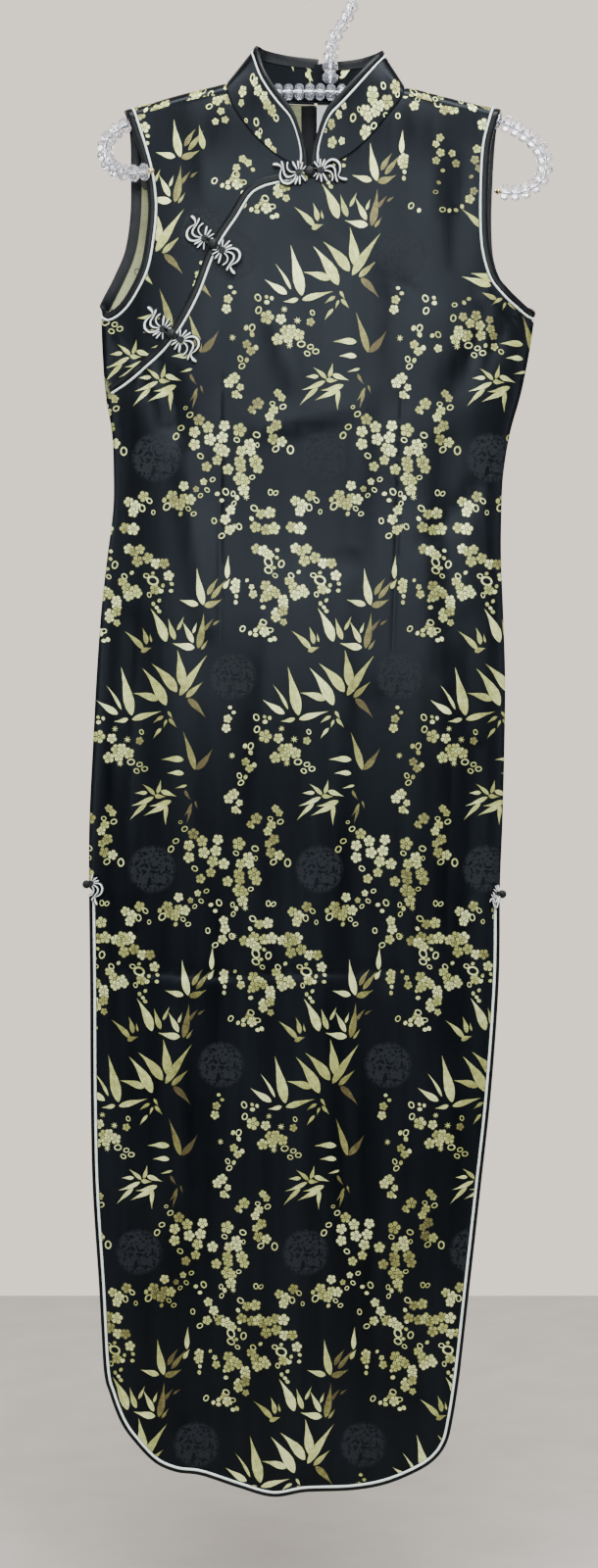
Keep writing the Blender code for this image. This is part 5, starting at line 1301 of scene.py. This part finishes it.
def cut_at_drop(points, least):
    """The part of a polyline at least this far down from the ridge, with its exact end."""
    down = drop(points) - least
    kept = []
    for i, point in enumerate(points):
        if i and down[i - 1] * down[i] < 0:
            share = down[i - 1] / (down[i - 1] - down[i])
            kept.append(points[i - 1] + (point - points[i - 1]) * share)
        if down[i] >= 0:
            kept.append(point)
    return np.array(kept)


def below_ridge(x, down):
    return np.stack([x, ridge(x) + ARCH_EXTRA - down], axis=1)


def seam_line(x0, x1, down):
    return below_ridge(np.linspace(x0, x1, max(2, round(abs(x1 - x0) / 4))), down)


def side_line(z0, z1, column):
    return upright(SIDES, np.linspace(z0, z1, max(2, round(abs(z1 - z0) / 7))), column)


def joined(*parts):
    return np.concatenate([np.atleast_2d(np.array(part, float)) for part in parts if len(part)])


def pattern_grid():
    """Points in columns that follow the side edges, closer near them."""
    k = np.linspace(-1, 1, 41)[1:-1]
    shares = 0.5 * k + 0.5 * np.sin(math.pi / 2 * k)
    rows = []
    for z in np.arange(-152.0, -1482.0, -9.5):
        left, right = read(SIDES, z, 1), read(SIDES, z, 2)
        x = (left + right) / 2 + shares * (right - left) / 2
        rows.append(np.stack([x, np.full(len(shares), z)], axis=1))
    return np.concatenate(rows)


def arch_grid(first, last):
    return np.concatenate([
        below_ridge(np.arange(-197.0, 166.0, 7.0), down) for down in np.arange(first, last, 2.6)
    ])


def face_grid(face, arch_from):
    """The points inside a panel: an even grid, rows along its darts, and rows over the shoulders."""
    grid = pattern_grid()
    grid = grid[drop(grid) > 24]
    away, along = np.full(len(grid), 1e9), []
    for side, x0, z0, x1, z1, width, _ in DARTS:
        if side == face:
            away = np.minimum(away, segment_distance(grid[:, 0], grid[:, 1], x0, z0, x1, z1)[0])
            line = resampled(np.array([(x0, z0), (x1, z1)]), 9)
            along += [line + (share * width, 0.0) for share in (-2.0, -1.1, -0.5, 0.0, 0.5, 1.1, 2.0)]
    return np.concatenate([grid[away > 6], *along, arch_grid(arch_from, 25.0)])


def make_fronts():
    opening = shifted(flat_curve(OPENING, 4), FABRIC_IN)
    corner = (NECK_RIGHT[-1][0], opening[0][1])
    side_top = opening[-1][1] - 3.0
    armhole = cut_at_drop(armhole_fabric("front_right"), SEAM_DROP)[::-1]
    neck = cut_at_drop(neck_fabric(NECK_RIGHT, 1), SEAM_DROP)
    outline = joined(
        [corner], opening, [(float(read(SIDES, side_top, 1)), side_top)],
        side_line(side_top - 7, SLIT_TOP, 1), SKIRT_FABRIC, side_line(SLIT_TOP, SIDE_TOP, 2),
        [UNDERARM["right"]], armhole,
        seam_line(armhole[-1][0], neck[0][0], SEAM_DROP)[1:-1], neck,
    )
    made = cloth("front_main_cloth", ["front_main"], outline, face_grid(FRONT, 17.0), BIG_FRONT_SKIN, BROCADE,
                 CLOTH, figures_over(outline, own="front_main"))

    neck = cut_at_drop(neck_fabric(NECK_LEFT, -1), SEAM_DROP)
    armhole = cut_at_drop(armhole_fabric("front_left"), SEAM_DROP)
    outline = joined(
        neck[::-1], seam_line(neck[0][0], armhole[0][0], SEAM_DROP)[1:-1], armhole, [UNDERARM["left"]],
        side_line(SIDE_TOP, -398.0, 1), [(-208.0, -410.0)], flat_curve(UNDERLAP, 5)[::-1],
    )
    made = cloth("front_upper_left_cloth", ["front_upper_left"], outline, face_grid(FRONT, 17.0), FRONT_SKIN,
                 BROCADE, CLOTH, figures_over(outline, (-28.0, 24.0), own="front_upper_left"))


def make_backs():
    grid = face_grid(BACK, -15.0)
    turn = -(SEAM_DROP - GAP)
    for side, column, neck_rows, back_neck, sign in (
        ("left", 1, NECK_LEFT, BACK_NECK_LEFT, -1), ("right", 2, NECK_RIGHT, BACK_NECK_RIGHT, 1),
    ):
        front = armhole_fabric(f"front_{side}")
        corner_x = cut_at_drop(front, -turn)[0][0]
        front = front[(drop(front) > 1.0) & (drop(front) < -turn - 0.6)]
        back = armhole_fabric(f"back_{side}")
        armhole = joined(over_ridge(front)[::-1], back[drop(back) > 1.0])
        neck = neck_fabric(neck_rows, sign)
        neck_x = cut_at_drop(neck, -turn)[0][0]
        neck = neck[drop(neck) < -turn - 0.6]
        neck = joined(over_ridge(neck)[::-1], neck_fabric(back_neck, sign)[:-1])
        half = GAP / 2 * sign
        middle = upright(CENTRE_BACK, np.arange(-1440.0, -133.0, 8.0), shift=half)
        hem = SKIRT_FABRIC[(SKIRT_FABRIC[:, 0] - read(CENTRE_BACK, SKIRT_FABRIC[:, 1])) * sign > 4]
        low = SKIRT_FABRIC[SKIRT_FABRIC[:, 1] < -1420]
        foot_x = float(read(CENTRE_BACK, -1475.0))
        foot = (foot_x + half, float(np.interp(foot_x, low[:, 0], low[:, 1])))
        outline = joined(
            [foot], hem[::sign], side_line(SLIT_TOP, SIDE_TOP, column), [UNDERARM[side]], armhole[::-1],
            seam_line(corner_x, neck_x, turn), neck, [(CENTRE_BACK_TOP + half, NECK_Z - NECK_BACK)],
            middle[::-1],
        )
        made = cloth(f"back_{side}_cloth", [f"back_{side}"], outline, grid, BACK_SKIN, BROCADE, CLOTH,
                     figures_over(outline, (52.0 + 9.0 * sign, 31.0)), margin=1.2)


def make_edges():
    dart_seams()
    trims, ends = {}, {}
    for key, line in ARMHOLES.items():
        face, side = key.split("_")
        place = BACK_SKIN if face == "back" else BIG_FRONT_SKIN if side == "right" else FRONT_SKIN
        top = (line[0][0], float(ridge(line[0][0])) + ARCH_EXTRA - GAP / 2)
        path = joined([top], line[drop(line) > 2.0])
        slope = (float(ridge(top[0] + 1) - ridge(top[0])), -1.0)
        name = f"armhole_{key}"
        trims[name], ends[key] = edge_trim(name, path, HOLE_SIDE[side], place, first=slope)
    for side in HOLE_SIDE:
        turn_at_side(f"armhole_{side}", ends[f"front_{side}"], ends[f"back_{side}"])
    opening = flat_curve(OPENING, 4)
    trims["opening"], _ = edge_trim("opening", opening[opening[:, 0] < -29.0], -1, BIG_FRONT_SKIN)
    piping = shifted(SKIRT_LINE, SKIRT_PIPING_IN)
    for name, place in (("hem_front", FRONT_SKIN), ("hem_back", BACK_SKIN)):
        trims[name], _ = edge_trim(name, piping, -1, place, SLIT_BINDING, fine=0.88)
    return trims


# ----------------------------------------------------------------------------------------------------- collar
COLLAR_BINDING = 5.2


def collar_edge(inward, step=4.0):
    top, front = COLLAR_HEIGHT - inward, inward
    radius = max(COLLAR_CORNER - inward, 0.5)
    turn = np.radians(90 + 90 * np.arange(1, 9) / 8)
    corner = np.stack([front + radius * (1 + np.cos(turn)), top - radius * (1 - np.sin(turn))], axis=1)
    return joined(
        curve([(COLLAR_LENGTH, top), (front + radius, top)], step), corner,
        curve([corner[-1], (front, COLLAR_START + 1.5)], step)[1:],
    )


# What the collar's brocade shows, in mm on the plane of the front view
# x, z, radius
COLLAR_FLOWERS = [
    (-85.8, -122.3, 5.2), (-87.4, -133.3, 3.6), (-74.1, -112.7, 4.6), (-71, -121.1, 5.4),
    (-65.5, -127.2, 5.4), (-62.5, -134.4, 5.4), (-57.7, -140.5, 5.6), (-71.3, -164.7, 4), (-61.3, -172, 4.2),
    (-57, -180, 4), (39.9, -123.5, 6.9), (39.9, -129.6, 5.8), (33.3, -141.6, 6.6), (42.8, -140.6, 5.8),
    (35.6, -146.6, 5), (62.3, -117.5, 6.6), (53.8, -132.1, 7), (47.5, -136, 5.2), (33.3, -161.7, 6.6),
    (0.5, -171.4, 5.4), (10, -170.2, 3.6), (12, -135.7, 3.6), (7.1, -144.1, 4.2), (-0.1, -153.9, 5),
]
# x, z, radius
COLLAR_RINGS = [
    (-76.1, -109, 3.2), (-72.8, -152, 3.2), (-68.4, -160.8, 2.2), (-53.4, -147.8, 3.2), (-82.6, -150.2, 1.8),
    (50.2, -116.9, 2.9), (26.9, -139.9, 2.2), (20.9, -147.8, 3.4), (41.1, -155.7, 3), (52.6, -144.8, 2.2),
    (-5.5, -160, 1.8), (64, -125, 2.4),
]
# x, z of the foot, x, z of the tip, width, shade, on the inside at the back
COLLAR_LEAVES = [
    (-60.5, -86.5, -56.5, -95.5, 3, 0.5), (-38.8, -92.5, -36.4, -103, 2.4, 0.6),
    (-29.5, -92, -18.5, -103, 4.2, 0.9), (-25, -103.5, -15.5, -113, 4.4, 0.5),
    (-22.5, -100, -20, -115.5, 3.4, 0.4), (-15.5, -104, -11, -118, 4.6, 0.4),
    (9.5, -105.5, 22.5, -94.5, 6.2, 1), (8.5, -109, 16.5, -104, 3.6, 0.8),
]


def collar_figures(place):
    """The collar's figures, brought from the front view onto its cloth."""
    u, v = (a.ravel() for a in np.meshgrid(np.arange(6.0, 190.0, 0.5), np.arange(2.0, 42.0, 0.5)))
    seen = place(np.stack([u, v], axis=1))[0]
    # a point nearer the camera stands further from the middle of the picture
    middle = np.array(CENTRE) / MM
    seen = middle + (seen[:, (0, 2)] - middle) / (1 + seen[:, 1:2] * MM / VIEW_DISTANCE)

    def found(x, z, back):
        wrong_face = np.where((u > COLLAR_FRONT) == back, 0.0, 1e6)
        far = (seen[:, 0] - x) ** 2 + (seen[:, 1] - z) ** 2 + wrong_face
        best = int(np.argmin(far))
        return (u[best], v[best]) if far[best] < 9.0 else None

    draw = random.Random(11)
    figures = []

    def add(look, centre, turn, outline, size, shade):
        figures.append((look, np.array(centre), turn, placed(outline, centre, turn), size, shade))

    for x, z, radius in COLLAR_FLOWERS:
        centre = found(x, z, False)
        if centre:
            turn, outline = draw.uniform(0, 6), round_outline(radius, 20, 0.24)
            add(FLOWER, centre, turn, outline, radius, draw.choice((0.5, 0.65, 0.85)))
    for x, z, radius in COLLAR_RINGS:
        centre = found(x, z, False)
        if centre:
            turn, (outer, hole) = draw.uniform(0, 6), ring_outlines(radius, 0.62, 0.6)
            add(LEAF, centre, turn, outer, radius * 3, 0.8)
            add(GROUND, centre, turn, hole, radius, 0.0)
    for x, z, tip_x, tip_z, width, shade in COLLAR_LEAVES:
        foot, tip = found(x, z, True), found(tip_x, tip_z, True)
        if foot and tip:
            length, turn = math.dist(foot, tip), math.atan2(tip[1] - foot[1], tip[0] - foot[0])
            add(LEAF, foot, turn, leaf_outline(length, width), width / 2, shade)
    return figures


def make_collars():
    piping_in = COLLAR_BINDING + GAP + PIPING / 2
    for side, place in COLLAR_SKINS.items():
        edge = collar_edge(piping_in + FABRIC_IN)
        outline = joined(edge, curve([(edge[-1][0], COLLAR_START), (COLLAR_LENGTH, COLLAR_START)], 4))
        u, v = np.meshgrid(np.arange(14.0, 191.0, 5.0), np.arange(5.0, 33.0, 4.5))
        grid = np.stack([u.ravel(), v.ravel()], axis=1)
        trim, _ = edge_trim(f"collar_{side}", collar_edge(piping_in), -1, place, COLLAR_BINDING, reach=3.0,
                            base=-COLLAR_CLOTH / 2, fine=0.70)
        piece, area = cloth(f"collar_{side}_cloth", [f"collar_{side}"], outline, grid, place, LINED,
                            COLLAR_CLOTH, collar_figures(place))
        # the seam that joins the collar to the neckline, turned inwards
        u = np.arange(2.0, COLLAR_LENGTH + 0.5, 2.5)
        foot = place(np.stack([u, np.full(len(u), COLLAR_START - 0.8)], axis=1), -1.6)[0]
        tube(f"collar_{side}_seam", foot, 1.4, "ground", sides=8)
    # a narrow strip behind the slit at the collar's centre back
    strip_section = ((-4.5, -1.5), (4.5, -1.5), (4.7, -1.8), (4.5, -2.1), (-4.5, -2.1), (-4.7, -1.8))
    rings = []
    for v in np.arange(1.5, 42.0, 4.0):
        left, right = (place((COLLAR_LENGTH - 0.5, v))[0][0] for place in COLLAR_SKINS.values())
        rings.append([(left + right) / 2 + (across, depth, 0.0) for across, depth in strip_section])
    # the strip takes the inside satin, whose colour is painted darker as shade
    loft("collar_back_strip", np.array(rings), "inside")


# ----------------------------------------------------------------------------------------------------- hanger
BEAD_RADIUS, BEAD_PITCH, BEAD_CLEAR = 8.3, 10.2, 0.85
HOOK_WIRE, HOOK_RADIUS, BEAD_WIRE = 3.2, 24.0, 3.4
# distance along a cap's axis, radius
CAP_PROFILE = (
    (-0.4, 1.6), (0, 2.4), (0.5, 3), (1.6, 3.1), (2.4, 2.6), (3.1, 2), (3.9, 1.7), (4.6, 1.9), (5, 1.1),
)


def under_shoulder(x):
    slope = float(ridge(x + 2) - ridge(x - 2)) / 4
    return float(ridge(x)) - (BEAD_RADIUS + CLOTH / 2 + BEAD_CLEAR) * math.hypot(1.0, slope)


def strung(name, route, nodes, radii, sides=10):
    """Cut beads in a row. Each bead is turned a little from the last."""
    length = run_of(route)[-1]
    line = curve(route, length / round(length / BEAD_PITCH))
    ahead = directions(line)
    draw = random.Random(3)
    bm = bmesh.new()
    profile = ((-0.47, 0.34), (-0.40, 0.72), (-0.17, 0.97), (0.17, 0.97), (0.40, 0.72), (0.47, 0.34))
    pitch = length / (len(line) - 1)
    for i in range(len(line) - 1):
        centre, way = (line[i] + line[i + 1]) / 2, Vector(ahead[i] + ahead[i + 1]).normalized()
        side = way.orthogonal().normalized()
        other = way.cross(side)
        spin, radius = draw.uniform(0, 6), radii(i / (len(line) - 2))
        rings = []
        for at, share in profile:
            turns = [spin + 2 * math.pi * (k + 0.5 * (abs(at) > 0.3)) / sides for k in range(sides)]
            middle = Vector(centre) + way * (at * pitch)
            ring = ring_about(middle, side, other, radius * share, turns)
            rings.append([bm.verts.new(Vector(p) * MM) for p in ring])
        bm.faces.new(rings[0][::-1])
        bm.faces.new(rings[-1])
        walls(bm, rings)
    made_from(bm, name, "bead", nodes, sharp=None)


def make_hanger():
    bar = np.array([(x, y, under_shoulder(x) if z is None else z) for x, y, z in BAR], float)
    stem = np.array([(x, 0.0, z) for x, z in STEM], float)
    strung("hanger_bar_beads", bar, ["hanger_beads"], lambda share: BEAD_RADIUS)
    strung("hanger_stem_beads", stem, ["hanger_stem"], lambda share: BEAD_RADIUS - 1.6 * share)
    for side, end, before in (("left", bar[0], bar[1]), ("right", bar[-1], bar[-2])):
        cap = f"hanger_cap_{side}"
        turned(f"{cap}_turned", end, end - before, CAP_PROFILE, "cap", [cap])
    tube("hanger_bar_wire", curve(bar, 4.0), BEAD_WIRE / 2, "wire", sides=8)
    tube("hanger_stem_wire", curve(stem, 4.0), BEAD_WIRE / 2, "wire", sides=8)
    centre = np.array((0.0, 0.0, HOOK_WIRE / 2 - HOOK_RADIUS))
    turns = np.radians(np.arange(-22.0, 209.5, 5.0))
    arc = centre + np.stack([np.cos(turns), turns * 0, np.sin(turns)], axis=1) * HOOK_RADIUS
    up = (stem[-1] - stem[-2]) / np.linalg.norm(stem[-1] - stem[-2])
    route = joined([stem[-1] + up * 2 * GAP], arc)
    tube("hanger_hook_wire", route, HOOK_WIRE / 2, "wire", ["hanger_hook"])


# ----------------------------------------------------------------------------------------------- caps and zip
def turned(name, end, way, profile, look, nodes=()):
    """A small turned part: rings of (distance along its axis, radius)."""
    way = Vector(way).normalized()
    side = way.orthogonal().normalized()
    other = way.cross(side)
    rings = []
    for along, radius in profile:
        rings.append(ring_about(Vector(end) + way * along, side, other, radius, circle(20)))
    loft(name, np.array(rings), look, nodes)


def plate(bm, outer, inner, thick, centre):
    """A flat ring with eased edges, between two outlines in x and z with as many points."""
    eased, half = 0.22, thick / 2
    rings = []
    for (ox, oz), (ix, iz) in zip(outer, inner):
        dx, dz = ix - ox, iz - oz
        far = math.hypot(dx, dz)
        dx, dz = dx / far * eased, dz / far * eased
        flat_side = half - eased
        points = [
            (ox, -flat_side, oz), (ox, flat_side, oz), (ox + dx, half, oz + dz), (ix - dx, half, iz - dz),
            (ix, flat_side, iz), (ix, -flat_side, iz), (ix - dx, -half, iz - dz), (ox + dx, -half, oz + dz),
        ]
        rings.append([bm.verts.new((Vector(centre) + Vector(p)) * MM) for p in points])
    walls(bm, rings, closed=True)


def strip(name, path, near, far, low, high, look, node):
    """A thin strip along a path on the back's inside, between two distances to its side."""
    eased = math.copysign(0.3, far - near)
    section = [(near, low + 0.15), (near + eased, low), (far - eased, low), (far, low + 0.15),
               (far, high - 0.15), (far - eased, high), (near + eased, high), (near, high - 0.15)]
    loft(name, sweep(path, section, BACK_SKIN), look, [node])


def make_zip():
    teeth = np.arange(ZIP_FROM, ZIP_TO, -TOOTH_PITCH)
    lift = -(CLOTH / 2 + 2 * GAP + 1.6)
    bm = bmesh.new()
    for k, z in enumerate(teeth):
        x, sign = float(read(CENTRE_BACK, z)), 1 if k % 2 else -1
        line = np.array([(x + sign * across, z) for across in (-2.4, -0.8, 1.2)])
        raised_cord(bm, line, np.array((1.0, 1.15, 1.3)), lift - 0.5, lift + 0.5, BACK_SKIN, 6)
    made_from(bm, "zip_coil", "tape")
    core = BACK_SKIN(upright(CENTRE_BACK, teeth[::4]), lift + 0.4)[0]
    tube("zip_core", core, 0.55, "tape", sides=8)

    # the tapes and the label hang from the neck seam
    inner = -CLOTH / 2 - 2 * GAP
    path = upright(CENTRE_BACK, np.concatenate([[SEAM_FOOT], np.arange(-142.0, ZIP_TO, -9.0), [ZIP_TO]]))
    for side, sign in (("left", -1), ("right", 1)):
        near, far = sign * GAP / 2, sign * (GAP / 2 + TAPE_WIDTH)
        tape = f"zip_tape_{side}"
        strip(f"{tape}_woven", path, near, far, inner - TAPE_THICK, inner, "tape", tape)
    path = np.stack([np.full(8, CENTRE_BACK_TOP), np.linspace(SEAM_FOOT, LABEL_FOOT, 8)], axis=1)
    lift = inner - TAPE_THICK - 1.3
    near, far = (x - CENTRE_BACK_TOP for x in LABEL_X)
    strip("neck_label_bare", path, near, far, lift - 0.5, lift, "label", "neck_label")

    hx, _, hz = ZIP_HINGE
    body = []
    for up, half in ((2.2, 2.3), (1.7, 2.9), (0.0, 3.0), (-4.0, 2.9), (-6.6, 2.4), (-7.8, 2.0)):
        corners = [(-half, 15.4), (0.5 - half, 15.1), (half - 0.5, 15.1), (half, 15.4),
                   (half, 16.3), (half - 0.5, 16.8), (0.5 - half, 16.8), (-half, 16.3)]
        body.append([(hx + across, y, hz + up) for across, y in corners])
    loft("zip_slider_body", np.array(body), "zip", ["zip_slider"])
    # y, z above the hinge
    bridge = ((16.5, 1.3), (19.2, 1.5), (21.0, 1.1), (21.7, 0.0), (21.2, -1.4), (19.4, -2.4), (17.4, -3.6),
              (16.5, -4.6))
    tube("zip_slider_bridge", curve([(hx, y, hz + up) for y, up in bridge], 0.5), 0.55, "zip")

    def oval(middle, half_width, half_height, power, narrow=0.0):
        points = []
        for t in circle(28):
            up = half_height * full(math.sin(t), power)
            wide = half_width * (1 - narrow * up / half_height)
            points.append((wide * full(math.cos(t), power), middle + up))
        return points

    bm = bmesh.new()
    plate(bm, oval(-2.0, 2.4, 2.6, 0.7), oval(-2.3, 1.35, 1.75, 0.7), 1.1, ZIP_HINGE)
    plate(bm, oval(-13.0, 2.1, 9.0, 0.6, 0.22), oval(-17.4, 1.1, 2.2, 0.8), 1.0, ZIP_HINGE)
    made_from(bm, "zip_pull_tab", "zip", ["zip_pull"], "zip_pull", 40)


# ------------------------------------------------------------------------------------------- camera and light
def add_light(name, place, aim, size, watts, colour=(1.0, 1.0, 1.0), spread=180):
    data = bpy.data.lights.new(name, "AREA")
    data.shape, data.size, data.size_y = "RECTANGLE", *size
    data.energy, data.color, data.spread = watts, colour, math.radians(spread)
    made = bpy.data.objects.new(name, data)
    made.location = place
    made.rotation_euler = (Vector(aim) - Vector(place)).to_track_quat("-Z", "Y").to_euler()
    bpy.context.scene.collection.objects.link(made)


ROOM, DIM = (1.32, 1.18, 1.03, 1.0), (0.028, 0.028, 0.030, 1.0)      # behind the dress, in front of it
FLOOR_Z, FLOOR_REACH = -1.62, 1.6
DRESS_X = -0.03             # the middle of the dress, which the lights face


def make_studio():
    camera = bpy.data.cameras.new("camera")
    camera.sensor_fit, camera.sensor_height = "VERTICAL", 24.0
    camera.lens = camera.sensor_height * VIEW_DISTANCE / PICTURE_HEIGHT
    made = bpy.data.objects.new("camera", camera)
    made.location = (CENTRE[0], -VIEW_DISTANCE, CENTRE[1])
    made.rotation_euler = (math.pi / 2, 0.0, 0.0)
    bpy.context.scene.collection.objects.link(made)
    bpy.context.scene.camera = made
    world = bpy.data.worlds.new("studio")
    world.use_nodes = True
    # paler behind the dress than in front of it, where the room is dim
    nodes, links = world.node_tree.nodes, world.node_tree.links
    coords, split, ramp = (nodes.new(f"ShaderNode{kind}") for kind in ("TexCoord", "SeparateXYZ", "ValToRGB"))
    links.new(coords.outputs["Generated"], split.inputs[0])
    links.new(split.outputs["Y"], ramp.inputs[0])
    ramp.color_ramp.elements[0].color = DIM
    ramp.color_ramp.elements[1].position = 0.75
    ramp.color_ramp.elements[1].color = ROOM
    links.new(ramp.outputs[0], nodes["Background"].inputs[0])
    # what is seen past the dress is the same pale room from every side
    pale, path, either = (nodes.new(f"ShaderNode{kind}") for kind in ("Background", "LightPath", "MixShader"))
    pale.inputs[0].default_value = ROOM
    links.new(path.outputs["Is Camera Ray"], either.inputs[0])
    links.new(nodes["Background"].outputs[0], either.inputs[1])
    links.new(pale.outputs[0], either.inputs[2])
    links.new(either.outputs[0], nodes["World Output"].inputs[0])
    bpy.context.scene.world = world
    add_light("ceiling", (0.1, -1.1, 1.5), (DRESS_X, 0.0, -0.6), (2.0, 0.8), 50.0, (0.97, 0.98, 1.0), 110)
    add_light("front", (0.05, -2.6, 0.18), (DRESS_X, 0.0, -0.48), (1.7, 1.3), 42.0, (0.90, 0.95, 1.0), 150)
    add_light("window", (-2.1, -1.7, -0.05), (DRESS_X, 0.0, -0.55), (0.5, 1.8), 26.0, (0.92, 0.96, 1.0))
    add_light("fill", (2.2, -1.6, -0.35), (DRESS_X, 0.0, -0.55), (0.4, 1.6), 14.0, (0.95, 0.96, 1.0))
    add_light("back", (0.6, 2.2, 0.8), (0.0, 0.0, -0.7), (1.4, 1.2), 26.0)
    bm = bmesh.new()
    bmesh.ops.create_grid(bm, x_segments=2, y_segments=2, size=FLOOR_REACH)
    floor = bpy.data.meshes.new("floor")
    bm.to_mesh(floor)
    bm.free()
    made = bpy.data.objects.new("floor", floor)
    made.location = (0.0, 0.0, FLOOR_Z)
    n = Nodes("pale_floor")
    grain = n.noise(12.0, 4.0)
    n.bump(grain, 0.05, 0.001)
    colour = n.ramp(grain, (0.3, (0.50, 0.47, 0.43)), (0.7, (0.56, 0.53, 0.48)))
    floor.materials.append(n.set(Base_Color=colour, Roughness=0.8))
    bpy.context.scene.collection.objects.link(made)


# -------------------------------------------------------------------------------------------------- the whole
make_studio()
TRIMS = make_edges()
make_fronts()
make_backs()
make_collars()
make_frogs()
make_hanger()
make_zip()
